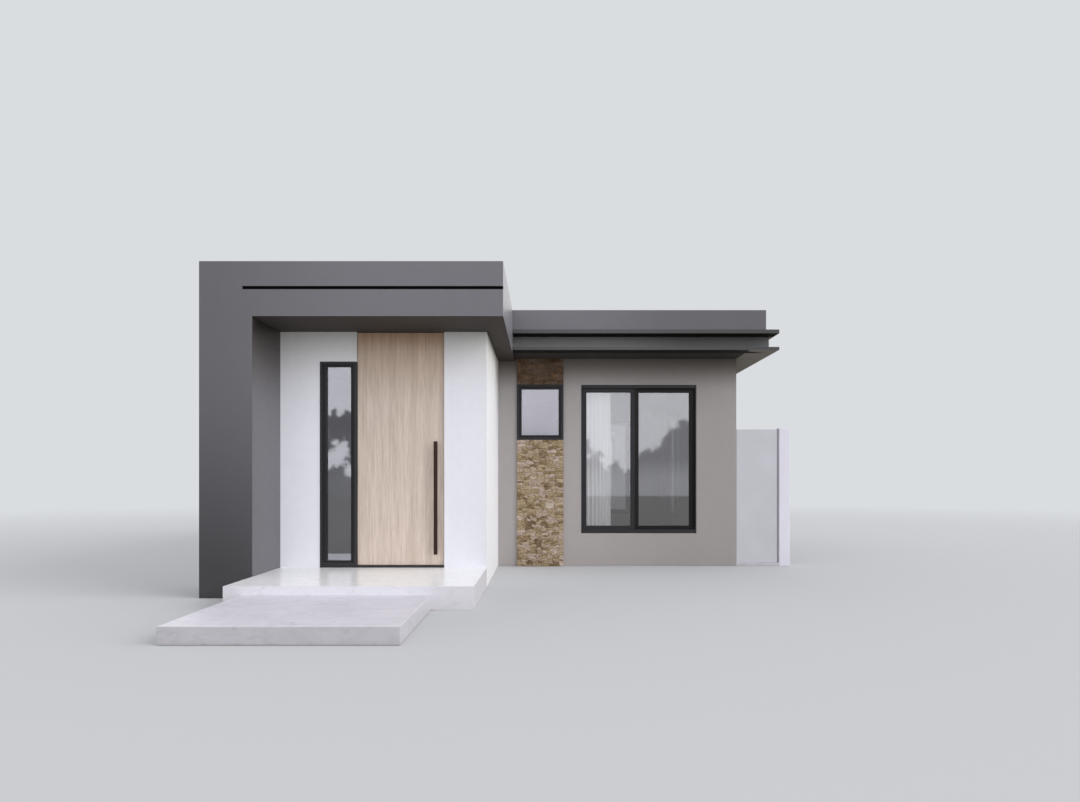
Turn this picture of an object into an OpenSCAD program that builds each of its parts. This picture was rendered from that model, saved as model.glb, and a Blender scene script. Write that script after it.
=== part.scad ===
// Flat-roofed bungalow with a portal frame over its entry and a set-back wing.
// Lengths are in millimetres. X runs to the right, Y to the rear and Z up.
// Plan places are counted from the portal's left face, its front face and the
// ground, and the whole model is then moved to the middle of its own base.

/* [House] */
// Depth from the portal's front face to the rear wall's outer face
house_d = 11000; // [9500:100:14000]
// Thickness of the outer walls
wall_t = 180; // [140:10:250]
// Height of the floor above the ground
floor_z = 275; // [200:5:400]
// Height of the parapets above the roof deck
parapet_h = 321; // [200:1:500]
// How far the left and rear walls stand in behind the roof band
band_reveal = 40; // [10:5:100]

/* [Portal] */
// Width of the portal over the entry
portal_w = 3890; // [3600:10:4100]
// Width of the portal's pier
pier_w = 680; // [500:10:900]
// Height of the portal's soffit above the ground
soffit_z = 3610; // [3400:5:3650]
// Thickness of the portal's beams
beam_t = 200; // [150:10:300]
// Depth of the porch, from the portal's front to the entry wall
entry_setback = 980; // [700:10:1400]
// Height of the black groove in the beam
groove_h = 42; // [20:2:80]
// Height of the groove above the soffit
groove_rise = 343; // [200:1:500]
// Distance of the groove's blind end from the portal's left face
groove_start = 550; // [100:10:1500]
// Depth of the groove
groove_d = 35; // [15:5:80]

/* [Wing] */
// Width of the wing, from the portal's right face to its outer corner
wing_w = 3910; // [3600:10:5500]
// Distance of the wing's front wall behind the portal's front
wing_setback = 3490; // [3200:10:4500]
// Distance of the return wall inside the portal's right face
return_inset = 290; // [100:10:500]
// Height of the wing's soffit above the portal's
wing_soffit_rise = 46; // [10:1:80]
// Thickness of the lower edge plate
lower_plate_t = 50; // [30:5:80]
// Height of the recessed fascia between the plates
fascia_h = 224; // [150:2:260]
// Thickness of the upper edge plate
upper_plate_t = 62; // [30:2:80]
// Reach of the plates in front of the wing's wall
front_overhang = 860; // [500:10:1000]
// Reach of the plates past the right and rear walls
side_overhang = 480; // [300:10:600]
// How far the fascia stands back from the plates at the front
fascia_recess = 300; // [100:10:400]
// How far the fascia stands back from the plates at the side and rear
fascia_side_recess = 80; // [40:5:200]
// How far the parapet stands back from the plates at the front
parapet_front_inset = 12; // [4:2:60]
// How far the parapet stands back from the plates at the side and rear
parapet_side_inset = 214; // [100:2:260]
// Thickness of the wing's parapets
parapet_t = 150; // [100:10:200]

/* [Porch] */
// How far the porch floor reaches in front of the portal
porch_reach = 840; // [600:10:1200]
// Height of the landing step above the ground
landing_h = 173; // [100:1:190]
// Length of the landing step, front to back
landing_l = 1800; // [600:50:2400]
// Width of the landing step
landing_w = 2225; // [1400:25:2600]
// Distance of the landing step from the portal's left face
landing_x = 880; // [700:10:950]

/* [Entry] */
// Distance of the sidelight from the portal's left face
sidelight_x = 1240; // [1100:10:1400]
// Width of the sidelight
sidelight_w = 520; // [400:10:600]
// Height of the wall between the sidelight and the soffit
sidelight_drop = 420; // [200:10:1200]
// Width of the sidelight's upright frame members
sidelight_jamb = 85; // [60:5:110]
// Height of the sidelight's head and foot members
sidelight_rail = 65; // [40:5:110]
// Depth of the sidelight's glass behind the wall face
sidelight_set = 60; // [40:5:105]
// Width of the door opening
door_w = 1240; // [1000:10:1400]
// Thickness of the door leaf
leaf_t = 50; // [40:2:70]
// Gap round the door leaf
door_gap = 7; // [6:1:10]
// Depth of the leaf behind the wall face
leaf_set = 30; // [20:5:60]
// Distance of the pivot from the leaf's edge
pivot_inset = 200; // [120:10:300]
// Radius of the pivot pins
pivot_r = 12; // [8:1:16]
// Height of the metal threshold
threshold_h = 28; // [15:1:40]

/* [Door pull] */
// Length of the pull bar
pull_l = 1600; // [800:50:2000]
// Height of the bar's foot above the floor
pull_foot = 185; // [100:5:900]
// Distance of the bar's middle from the leaf's free edge
pull_edge = 112; // [70:2:200]
// Width of the bar
pull_w = 52; // [25:1:60]
// Depth of the bar
pull_d = 22; // [15:1:40]
// Clear gap between the leaf and the bar
pull_clear = 45; // [35:1:80]
// Radius of the bar's posts
pull_post_r = 12; // [8:1:12]
// Distance of each post from the bar's end
pull_post_end = 150; // [60:10:300]

/* [Windows] */
// Depth of the window frames
frame_d = 120; // [100:5:135]
// How far the frames stand proud of the wall face
frame_proud = 5; // [2:1:15]
// Width of the wide window
wide_w = 2030; // [1600:10:2200]
// Height of the wide window
wide_h = 2615; // [1200:5:2700]
// Height of the wide window's sill above the ground
wide_sill = 580; // [500:10:800]
// Distance of the wide window from the stone strip
wide_gap = 315; // [150:5:500]
// Width of the upright members of the wide window's frame
wide_jamb = 22; // [15:1:50]
// Height of the head and foot members of the wide window's frame
wide_head = 60; // [30:5:80]
// Width of the front sash's upright members
stile_w = 68; // [40:2:90]
// Width of the rear sash's upright members
rear_stile_w = 90; // [40:2:110]
// Height of the sashes' rails
rail_h = 66; // [40:2:100]
// Thickness of a sash
sash_t = 36; // [25:1:40]
// Distance of the meeting line from the window's left edge
meet_x = 945; // [700:5:1100]
// How far the rear sash laps behind the front one
sash_lap = 15; // [5:1:40]
// Gap between the sashes' tracks
track_gap = 2; // [1:0.5:6]
// Width of the small window and of the stone strip
small_w = 820; // [600:10:900]
// Height of the small window
small_h = 975; // [600:5:1100]
// Height of the small window's sill above the ground
small_sill = 2225; // [1800:5:2400]
// Width of the small window's frame members
small_jamb = 80; // [50:5:100]
// Thickness of the glass
glass_t = 8; // [6:1:12]

/* [Stone strip] */
// Distance of the stone strip from the return wall's outer face
stone_x = 330; // [310:5:500]
// Thickness of the stone facing
stone_t = 40; // [20:5:60]

/* [Hidden sides] */
// Number of wide windows in the right wall
right_windows = 2; // [1:1:2]
// Number of wide windows in the rear wall
rear_windows = 2; // [1:1:2]
// Number of small windows in the left wall
left_windows = 2; // [1:1:3]

/* [Curtain] */
// Width that the drawn curtain covers
curtain_w = 530; // [300:10:900]
// Thickness of the gathered curtain
curtain_t = 70; // [40:5:100]
// Gap between the curtain and the floor
curtain_foot = 20; // [10:5:60]
// Distance of the rail's middle from the inner wall face
rail_off = 90; // [70:5:140]
// Radius of the rail
rail_r = 14; // [12:1:20]
// Radius of the rail's brackets
bracket_r = 10; // [6:1:12]
// Distance of the rail below the wing's soffit
rail_drop = 350; // [60:10:380]
// How far the rail reaches past the window on each side
rail_past = 60; // [40:10:120]

/* [Side gate] */
// Width of the gap between the house and the gate post
gate_gap = 758; // [700:2:1200]
// Height of the gate leaf's top above the ground
gate_top = 2411; // [1800:1:2500]
// Thickness of the gate leaf
gate_t = 45; // [30:5:70]
// Depth of the gate leaf behind the wall's face
gate_set = 20; // [5:5:60]
// Gap between the leaf and the wall
gate_hinge_gap = 8; // [6:1:15]
// Gap between the leaf and the post
gate_latch_gap = 34; // [8:1:40]
// Width and depth of the gate post
post_w = 190; // [120:5:300]
// Height of the gate post
post_h = 2433; // [1800:1:2600]
// Height of the sill under the gate
gate_sill_h = 60; // [30:5:150]
// Gap between the gate and its sill
gate_foot_gap = 12; // [6:1:40]
// Radius of the gate's hinge pins
hinge_pin_r = 8; // [6:1:12]
// Height of each hinge's eye and of its bracket
hinge_h = 60; // [40:5:100]
// Gap between the leaf and its hinge brackets
hinge_clear = 6; // [5:1:15]

/* [Hidden] */
$fn = 48;

// A hair's breadth past a face, so that cuts leave no skin
cut = 1;
// Gap between pieces that seat but belong to different bodies
seat = 0.3;
// Radial clearance of a pin in its bore
pin_play = 0.06;

// Roof levels
wing_soffit_z = soffit_z + wing_soffit_rise;
upper_plate_z = wing_soffit_z + lower_plate_t + fascia_h;
deck_z = upper_plate_z + upper_plate_t;
roof_top_z = deck_z + parapet_h;

// Plan lines, left to right
house_w = portal_w + wing_w;
return_x = portal_w - return_inset;
door_x = sidelight_x + sidelight_w;
door_end_x = door_x + door_w;
strip_x = return_x + stone_x;
wide_x = strip_x + small_w + wide_gap;
left_wall_x = band_reveal;
plate_x = house_w + side_overhang;
post_x = house_w + gate_gap;

// Plan lines, front to rear
plate_y = wing_setback - front_overhang;
porch_y = -porch_reach;
landing_y = porch_y - landing_l;
rear_in_y = house_d - wall_t;
band_y = house_d + band_reveal;
plate_rear_y = house_d + side_overhang;

// Middle of the base
mid_x = (post_x + post_w) / 2;
mid_y = (landing_y + plate_rear_y) / 2;

// Levels of the sidelight, the curtain rail and the windows
sidelight_foot = floor_z + threshold_h;
sidelight_head = soffit_z - sidelight_drop;
rail_y = wing_setback + wall_t + rail_off;
rail_z = wing_soffit_z - rail_drop;

// Door leaf
leaf_x = door_x + door_gap;
leaf_w = door_w - 2 * door_gap;
leaf_y = entry_setback + leaf_set;
leaf_z = sidelight_foot + door_gap;
leaf_top = soffit_z - door_gap;
pivot_x = leaf_x + pivot_inset;
pivot_y = leaf_y + leaf_t / 2;
pivot_bore = 40;
pivot_end_gap = 2;
pivot_collar_r = 2 * pivot_r;

// Middle of the pull bars
pull_x = leaf_x + leaf_w - pull_edge;

// Sliding sashes, counted from the frame's front
track_lip = 6;
rear_track = frame_d - track_lip - sash_t;
front_track = rear_track - track_gap - sash_t;

// Gate leaf
gate_x = house_w + gate_hinge_gap;
gate_w = gate_gap - gate_hinge_gap - gate_latch_gap;
gate_z = gate_sill_h + gate_foot_gap;
gate_y = wing_setback + gate_set;
hinge_eye_r = 2 * hinge_pin_r;
hinge_x = house_w + hinge_eye_r + gate_hinge_gap;
hinge_y = gate_y + gate_t + hinge_clear + hinge_eye_r;
// Places of the hinges, as shares of the leaf's height
hinge_levels = [0.12, 0.5, 0.88];

render_grey = [0.45, 0.44, 0.47];
fascia_grey = [0.31, 0.31, 0.31];
taupe = [0.63, 0.61, 0.60];
white_render = [0.86, 0.85, 0.86];
tile_white = [0.90, 0.90, 0.91];
step_grey = [0.80, 0.80, 0.82];
frame_black = [0.17, 0.16, 0.17];
oak = [0.79, 0.71, 0.62];
stone_tan = [0.60, 0.50, 0.38];
glass_tint = [0.70, 0.76, 0.80, 0.45];

// A box between two corners
module span(a, b) {
  translate(a) cube(b - a);
}

// Move the house to the middle of its base
module placed() {
  translate([-mid_x, -mid_y, 0]) children();
}

// Local frames on the walls: X along the wall, Y inwards from its outer face
module on_wing_front(x, z) {
  translate([x, wing_setback, z]) children();
}
module on_right(y, z) {
  translate([house_w, y, z]) rotate([0, 0, 90]) children();
}
module on_rear(x, z) {
  translate([x, house_d, z]) rotate([0, 0, 180]) children();
}
module on_left(y, z) {
  translate([left_wall_x, y, z]) rotate([0, 0, -90]) children();
}

// Where the repeated windows of the hidden sides stand
module each_right_window() {
  bay = (rear_in_y - wing_setback - wall_t) / right_windows;
  for (i = [0:right_windows - 1])
    on_right(wing_setback + wall_t + bay * (i + 0.5) - wide_w / 2, wide_sill) children();
}
module each_rear_window() {
  bay = (house_w - 2 * wall_t) / rear_windows;
  for (i = [0:rear_windows - 1])
    on_rear(wall_t + bay * (i + 0.5) + wide_w / 2, wide_sill) children();
}
module each_left_window() {
  bay = (rear_in_y - entry_setback - wall_t) / left_windows;
  for (i = [0:left_windows - 1])
    on_left(entry_setback + wall_t + bay * (i + 0.5) + small_w / 2, small_sill) children();
}

// Openings through a wall, in the wall's local frame
module wide_hole() {
  span([0, -cut, 0], [wide_w, wall_t + cut, wide_h]);
}
module small_hole() {
  span([0, -cut, 0], [small_w, wall_t + cut, small_h]);
}

// A rectangular ring: outer size w by h, depth d, members jamb wide and rail high
module ring(w, h, d, jamb, rail) {
  difference() {
    cube([w, d, h]);
    translate([jamb, -cut, rail]) cube([w - 2 * jamb, d + 2 * cut, h - 2 * rail]);
  }
}

// Wide sliding window, in the wall's local frame
module wide_frame() {
  translate([0, -frame_proud, 0]) ring(wide_w, wide_h, frame_d, wide_jamb, wide_head);
}
module sash(x0, x1, track, stile) {
  translate([x0, track - frame_proud, wide_head])
    ring(x1 - x0, wide_h - 2 * wide_head, sash_t, stile, rail_h);
}
module pane(x0, x1, track, stile) {
  span(
    [x0 + stile, track - frame_proud + (sash_t - glass_t) / 2, wide_head + rail_h],
    [x1 - stile, track - frame_proud + (sash_t + glass_t) / 2, wide_h - wide_head - rail_h]
  );
}
module wide_sashes() {
  sash(wide_jamb, meet_x, front_track, stile_w);
  sash(meet_x - sash_lap, wide_w - wide_jamb, rear_track, rear_stile_w);
}
module wide_panes() {
  pane(wide_jamb, meet_x, front_track, stile_w);
  pane(meet_x - sash_lap, wide_w - wide_jamb, rear_track, rear_stile_w);
}

// Small window, in the wall's local frame
module small_frame(proud) {
  translate([0, -proud, 0]) ring(small_w, small_h, frame_d, small_jamb, small_jamb);
}
module small_pane(proud) {
  span(
    [small_jamb, frame_d / 2 - proud, small_jamb],
    [small_w - small_jamb, frame_d / 2 - proud + glass_t, small_h - small_jamb]
  );
}

// Floors and steps
module main_floor() {
  color(step_grey) placed()
    span([left_wall_x + wall_t, wing_setback + wall_t, 0], [house_w - wall_t, rear_in_y, floor_z]);
}
module hall_floor() {
  color(step_grey) placed()
    span([left_wall_x + wall_t, entry_setback, 0], [return_x - wall_t, wing_setback + wall_t, floor_z]);
}
module porch_floor() {
  color(tile_white) placed()
    span([pier_w, porch_y, 0], [return_x, entry_setback, floor_z]);
}
module landing_step() {
  color(step_grey) placed()
    span([landing_x, landing_y, 0], [landing_x + landing_w, porch_y, landing_h]);
}

// Portal
module portal_pier() {
  color(render_grey) placed()
    span([0, 0, 0], [pier_w, entry_setback, soffit_z]);
}
module portal_beam() {
  color(render_grey) placed()
    difference() {
      span([0, 0, soffit_z], [portal_w, beam_t, roof_top_z]);
      span(
        [groove_start, -cut, soffit_z + groove_rise],
        [portal_w + cut, groove_d, soffit_z + groove_rise + groove_h]
      );
    }
}
module portal_side_beam() {
  color(render_grey) placed()
    span([portal_w - beam_t, beam_t, soffit_z], [portal_w, plate_y + parapet_front_inset, roof_top_z]);
}
module entry_roof_slab() {
  color(render_grey) placed()
    difference() {
      span([beam_t, beam_t, soffit_z], [portal_w, band_y - beam_t, deck_z]);
      span(
        [portal_w - beam_t, 0, soffit_z - cut],
        [portal_w + cut, plate_y + parapet_front_inset, deck_z + cut]
      );
    }
}
module left_roof_band() {
  color(render_grey) placed()
    span([0, beam_t, soffit_z], [beam_t, band_y, roof_top_z]);
}
module rear_roof_band() {
  color(render_grey) placed()
    span([beam_t, band_y - beam_t, soffit_z], [portal_w, band_y, roof_top_z]);
}

// Wing roof edge: slab, two plates and parapets
module wing_roof_slab() {
  color(fascia_grey) placed()
    difference() {
      span(
        [portal_w, plate_y + fascia_recess, wing_soffit_z],
        [plate_x - fascia_side_recess, plate_rear_y - fascia_side_recess, upper_plate_z]
      );
      lower_plate_outline();
    }
}
// The plate runs round the slab's edge as a band let into its foot
module lower_plate_outline() {
  difference() {
    span(
      [portal_w, plate_y, wing_soffit_z - cut],
      [plate_x, plate_rear_y, wing_soffit_z + lower_plate_t]
    );
    span(
      [portal_w - cut, wing_setback, wing_soffit_z - 2 * cut],
      [house_w, house_d, wing_soffit_z + lower_plate_t + cut]
    );
  }
}
module lower_edge_plate() {
  color(fascia_grey) placed()
    intersection() {
      lower_plate_outline();
      span(
        [portal_w, plate_y, wing_soffit_z],
        [plate_x, plate_rear_y, wing_soffit_z + lower_plate_t]
      );
    }
}
module upper_edge_plate() {
  color(fascia_grey) placed()
    span([portal_w, plate_y, upper_plate_z], [plate_x, plate_rear_y, deck_z]);
}
module front_parapet() {
  color(render_grey) placed()
    span(
      [portal_w - beam_t, plate_y + parapet_front_inset, deck_z],
      [plate_x - parapet_side_inset, plate_y + parapet_front_inset + parapet_t, roof_top_z]
    );
}
module right_parapet() {
  color(render_grey) placed()
    span(
      [
        plate_x - parapet_side_inset - parapet_t,
        plate_y + parapet_front_inset + parapet_t,
        deck_z
      ],
      [plate_x - parapet_side_inset, plate_rear_y - parapet_side_inset, roof_top_z]
    );
}
// The rear parapet turns forward at its left end to meet the rear roof band
module rear_parapet() {
  parapet_y = plate_rear_y - parapet_side_inset - parapet_t;
  color(render_grey) placed() {
    span(
      [portal_w, parapet_y, deck_z],
      [plate_x - parapet_side_inset - parapet_t, parapet_y + parapet_t, roof_top_z]
    );
    span([portal_w, band_y - beam_t, deck_z], [portal_w + parapet_t, parapet_y, roof_top_z]);
  }
}

// Entry walls
module entry_wall_left() {
  color(white_render) placed()
    span(
      [left_wall_x + wall_t, entry_setback, floor_z],
      [sidelight_x, entry_setback + wall_t, soffit_z]
    );
}
module entry_wall_head() {
  color(white_render) placed()
    span([sidelight_x, entry_setback, sidelight_head], [door_x, entry_setback + wall_t, soffit_z]);
}
module entry_wall_right() {
  color(white_render) placed()
    span(
      [door_end_x, entry_setback, floor_z],
      [return_x - wall_t, entry_setback + wall_t, soffit_z]
    );
}
module return_wall() {
  color(white_render) placed()
    span([return_x - wall_t, entry_setback, 0], [return_x, wing_setback, soffit_z]);
}

// Outer walls of the main body
module wing_front_wall() {
  color(taupe) placed()
    difference() {
      span(
        [return_x - wall_t, wing_setback, 0],
        [house_w, wing_setback + wall_t, wing_soffit_z]
      );
      span(
        [0, wing_setback - cut, soffit_z],
        [portal_w, wing_setback + wall_t + cut, wing_soffit_z + cut]
      );
      on_wing_front(strip_x, small_sill) small_hole();
      on_wing_front(wide_x, wide_sill) wide_hole();
    }
}
module right_wall() {
  color(taupe) placed()
    difference() {
      span([house_w - wall_t, wing_setback + wall_t, 0], [house_w, house_d, wing_soffit_z]);
      each_right_window() wide_hole();
    }
}
module rear_wall() {
  color(taupe) placed()
    difference() {
      span([left_wall_x + wall_t, rear_in_y, 0], [house_w - wall_t, house_d, wing_soffit_z]);
      span([0, rear_in_y - cut, soffit_z], [portal_w, house_d + cut, wing_soffit_z + cut]);
      each_rear_window() wide_hole();
    }
}
module left_wall() {
  color(white_render) placed()
    difference() {
      span([left_wall_x, entry_setback, 0], [left_wall_x + wall_t, house_d, soffit_z]);
      each_left_window() small_hole();
    }
}
module stone_facing() {
  color(stone_tan) placed()
    for (z = [[0, small_sill], [small_sill + small_h, wing_soffit_z]])
      on_wing_front(strip_x, 0) span([0, -stone_t, z[0]], [small_w, 0, z[1]]);
}

// Entry door on floor and head pivots
module door_threshold() {
  color(frame_black) placed()
    span(
      [sidelight_x, entry_setback - frame_proud, floor_z],
      [door_end_x, entry_setback + wall_t, sidelight_foot]
    );
}
// One pivot: a pin that stands on a collar, its root at z = 0
module pivot() {
  cylinder(h = door_gap - seat, r = pivot_collar_r);
  cylinder(h = door_gap + pivot_bore - pivot_end_gap, r = pivot_r);
}
module door_pivots() {
  color(frame_black) placed() {
    translate([pivot_x, pivot_y, sidelight_foot]) pivot();
    translate([pivot_x, pivot_y, soffit_z]) mirror([0, 0, 1]) pivot();
  }
}
module door_leaf() {
  color(oak) placed()
    difference() {
      span([leaf_x, leaf_y, leaf_z], [leaf_x + leaf_w, leaf_y + leaf_t, leaf_top]);
      translate([pivot_x, pivot_y, leaf_z - cut])
        cylinder(h = pivot_bore + cut, r = pivot_r + pin_play);
      translate([pivot_x, pivot_y, leaf_top - pivot_bore])
        cylinder(h = pivot_bore + cut, r = pivot_r + pin_play);
    }
}
// One pull bar with its two posts, seated on y = 0 and standing towards -y
module pull_bar() {
  translate([-pull_w / 2, -pull_clear - pull_d, 0]) cube([pull_w, pull_d, pull_l]);
  for (z = [pull_post_end, pull_l - pull_post_end])
    translate([0, 0, z]) rotate([90, 0, 0]) cylinder(h = pull_clear, r = pull_post_r);
}
module door_pulls() {
  color(frame_black) placed() {
    translate([pull_x, leaf_y, floor_z + pull_foot]) pull_bar();
    translate([pull_x, leaf_y + leaf_t, floor_z + pull_foot]) mirror([0, 1, 0]) pull_bar();
  }
}
module sidelight_frame() {
  color(frame_black) placed()
    translate([sidelight_x, entry_setback - frame_proud, sidelight_foot])
      ring(
        sidelight_w,
        sidelight_head - sidelight_foot,
        frame_d,
        sidelight_jamb,
        sidelight_rail
      );
}
module sidelight_glass() {
  color(glass_tint) placed()
    span(
      [
        sidelight_x + sidelight_jamb,
        entry_setback + sidelight_set,
        sidelight_foot + sidelight_rail
      ],
      [
        door_x - sidelight_jamb,
        entry_setback + sidelight_set + glass_t,
        sidelight_head - sidelight_rail
      ]
    );
}

// Windows of the photographed front
module small_window_frame() {
  color(frame_black) placed()
    on_wing_front(strip_x, small_sill) small_frame(stone_t - frame_proud);
}
module small_window_glass() {
  color(glass_tint) placed()
    on_wing_front(strip_x, small_sill) small_pane(stone_t - frame_proud);
}
module wide_window_frame() {
  color(frame_black) placed() on_wing_front(wide_x, wide_sill) wide_frame();
}
module wide_window_sashes() {
  color(frame_black) placed() on_wing_front(wide_x, wide_sill) wide_sashes();
}
module wide_window_glass() {
  color(glass_tint) placed() on_wing_front(wide_x, wide_sill) wide_panes();
}

// Curtain, drawn to the left on a rail over the wide window
module curtain_rail() {
  color(white_render) placed() {
    translate([wide_x - rail_past, rail_y, rail_z]) rotate([0, 90, 0])
      cylinder(h = wide_w + 2 * rail_past, r = rail_r);
    for (x = [wide_x - rail_past / 2, wide_x + wide_w + rail_past / 2])
      translate([x, wing_setback + wall_t, rail_z]) rotate([-90, 0, 0])
        cylinder(h = rail_off, r = bracket_r);
  }
}
module curtain() {
  color(white_render) placed()
    span(
      [wide_x + wide_jamb, rail_y - curtain_t / 2, floor_z + curtain_foot],
      [wide_x + wide_jamb + curtain_w, rail_y + curtain_t / 2, rail_z - rail_r - seat]
    );
}

// Windows of the hidden sides, like those of the front
module other_wide_frames() {
  color(frame_black) placed() {
    each_right_window() wide_frame();
    each_rear_window() wide_frame();
  }
}
module other_wide_sashes() {
  color(frame_black) placed() {
    each_right_window() wide_sashes();
    each_rear_window() wide_sashes();
  }
}
module other_wide_glass() {
  color(glass_tint) placed() {
    each_right_window() wide_panes();
    each_rear_window() wide_panes();
  }
}
module other_small_frames() {
  color(frame_black) placed() each_left_window() small_frame(frame_proud);
}
module other_small_glass() {
  color(glass_tint) placed() each_left_window() small_pane(frame_proud);
}

// Side gate between the house and its post
module gate_sill() {
  color(step_grey) placed()
    span([house_w, wing_setback, 0], [post_x, wing_setback + post_w, gate_sill_h]);
}
module gate_post() {
  color(white_render) placed()
    span([post_x, wing_setback, 0], [post_x + post_w, wing_setback + post_w, post_h]);
}
// Height of a hinge's foot above the ground
function hinge_z(level) = gate_z + level * (gate_top - gate_z);
module gate_hinges() {
  color(frame_black) placed()
    for (level = hinge_levels)
      translate([hinge_x, hinge_y, hinge_z(level)]) {
        translate([house_w - hinge_x, -hinge_eye_r, -hinge_h])
          cube([hinge_x - house_w, 2 * hinge_eye_r, hinge_h]);
        translate([0, 0, -hinge_h]) cylinder(h = hinge_h, r = hinge_eye_r);
        cylinder(h = hinge_h, r = hinge_pin_r);
      }
}
module side_gate() {
  color(white_render) placed() {
    difference() {
      union() {
        span([gate_x, gate_y, gate_z], [gate_x + gate_w, gate_y + gate_t, gate_top]);
        for (level = hinge_levels)
          translate([hinge_x, hinge_y, hinge_z(level) + seat]) {
            cylinder(h = hinge_h, r = hinge_eye_r);
            translate([0, gate_y + gate_t - hinge_y, 0])
              cube([hinge_eye_r, hinge_y - gate_y - gate_t, hinge_h]);
          }
      }
      for (level = hinge_levels)
        translate([hinge_x, hinge_y, hinge_z(level)])
          cylinder(h = hinge_h + seat + cut, r = hinge_pin_r + pin_play);
    }
  }
}

main_floor();
hall_floor();
porch_floor();
landing_step();
portal_pier();
portal_beam();
portal_side_beam();
entry_roof_slab();
left_roof_band();
rear_roof_band();
wing_roof_slab();
lower_edge_plate();
upper_edge_plate();
front_parapet();
right_parapet();
rear_parapet();
entry_wall_left();
entry_wall_head();
entry_wall_right();
return_wall();
wing_front_wall();
right_wall();
rear_wall();
left_wall();
stone_facing();
door_threshold();
door_pivots();
door_leaf();
door_pulls();
sidelight_frame();
sidelight_glass();
small_window_frame();
small_window_glass();
wide_window_frame();
wide_window_sashes();
wide_window_glass();
curtain_rail();
curtain();
other_wide_frames();
other_wide_sashes();
other_wide_glass();
other_small_frames();
other_small_glass();
gate_sill();
gate_post();
gate_hinges();
side_gate();
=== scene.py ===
"""Looks of a flat-roofed bungalow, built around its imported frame.

A portal in grey render stands over the entry. A wing with a layered roof edge, a strip of ledge
stone and a wide window stands back on its right, and a side gate closes the gap beside the wing.
Lengths are in metres, X to the right, Y to the rear and Z up.
"""

import logging
import math
from abc import ABC, abstractmethod
from dataclasses import dataclass
from enum import Enum
from typing import Any, Sequence

import bmesh
import bpy
import numpy as np
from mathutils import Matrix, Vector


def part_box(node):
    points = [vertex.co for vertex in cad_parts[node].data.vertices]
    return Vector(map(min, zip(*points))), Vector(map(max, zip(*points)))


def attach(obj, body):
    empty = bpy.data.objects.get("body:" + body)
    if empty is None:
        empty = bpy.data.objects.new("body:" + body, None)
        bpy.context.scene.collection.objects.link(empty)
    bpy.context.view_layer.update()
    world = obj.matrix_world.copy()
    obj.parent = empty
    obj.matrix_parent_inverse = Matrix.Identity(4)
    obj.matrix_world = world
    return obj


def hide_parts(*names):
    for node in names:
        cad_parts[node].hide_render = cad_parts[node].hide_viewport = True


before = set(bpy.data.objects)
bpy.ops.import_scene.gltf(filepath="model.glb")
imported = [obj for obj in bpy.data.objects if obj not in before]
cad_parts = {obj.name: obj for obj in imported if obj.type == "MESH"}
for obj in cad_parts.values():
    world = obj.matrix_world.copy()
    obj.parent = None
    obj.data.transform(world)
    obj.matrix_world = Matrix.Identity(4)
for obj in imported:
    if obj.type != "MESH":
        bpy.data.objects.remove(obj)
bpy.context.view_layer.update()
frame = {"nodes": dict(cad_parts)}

log = logging.getLogger("bungalow")

Colour = tuple[float, float, float]

FACING = 0.5
"""Share of its normal along an axis from which a face counts as facing that way."""

DUST: Colour = (0.30, 0.27, 0.23)
"""Dust and splashes at the foot of walls and steps."""

FRONT_MIDDLE = -0.9
"""Place along X from which the shade of the front's ends is measured."""


class Body(str, Enum):
    """Bodies of the frame that pieces ride on."""

    HOUSE = "house"
    DOOR = "entry_door"
    GATE = "gate_leaf"


class Axis(int, Enum):
    """Axes of the frame."""

    X = 0
    Y = 1
    Z = 2


class Wire:
    """A socket of a node graph that takes part in Python expressions."""

    def __init__(self, graph: "Graph", socket: bpy.types.NodeSocket | None) -> None:
        """Keep the socket and the graph that it belongs to."""
        self.graph = graph
        self.socket = socket

    def __add__(self, other: "Wire | float") -> "Wire":
        """Add a wire or a number."""
        return self.graph.math("ADD", self, other)

    def __sub__(self, other: "Wire | float") -> "Wire":
        """Take a wire or a number away."""
        return self.graph.math("SUBTRACT", self, other)

    def __rsub__(self, other: float) -> "Wire":
        """Take this wire away from a number."""
        return self.graph.math("SUBTRACT", other, self)

    def __mul__(self, other: "Wire | float") -> "Wire":
        """Multiply by a wire or a number."""
        return self.graph.math("MULTIPLY", self, other)

    def __truediv__(self, other: "Wire | float") -> "Wire":
        """Divide by a wire or a number."""
        return self.graph.math("DIVIDE", self, other)

    def __pow__(self, other: float) -> "Wire":
        """Raise to a power."""
        return self.graph.math("POWER", self, other)

    def __abs__(self) -> "Wire":
        """Drop the sign."""
        return self.graph.math("ABSOLUTE", self)

    __radd__ = __add__
    __rmul__ = __mul__

    def above(self, edge: "Wire | float") -> "Wire":
        """One where this wire is more than the edge, and nought elsewhere."""
        return self.graph.math("GREATER_THAN", self, edge)

    def below(self, edge: "Wire | float") -> "Wire":
        """One where this wire is less than the edge, and nought elsewhere."""
        return self.graph.math("LESS_THAN", self, edge)

    def swing(self, share: float) -> "Wire":
        """Turn noise from 0 to 1 into a factor that swings round one by the share."""
        return (self - 0.5) * (2.0 * share) + 1.0

    def smooth(self, low: float, high: float) -> "Wire":
        """Ease from nought to one.

        Args:
            low: Where the wire's value gives nought.
            high: Where it gives one. It may be less than low.

        Returns:
            The eased value as a wire.
        """
        return self.graph.add(
            "ShaderNodeMapRange",
            {"interpolation_type": "SMOOTHSTEP"},
            {"Value": self, "From Min": low, "From Max": high},
        )


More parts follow.
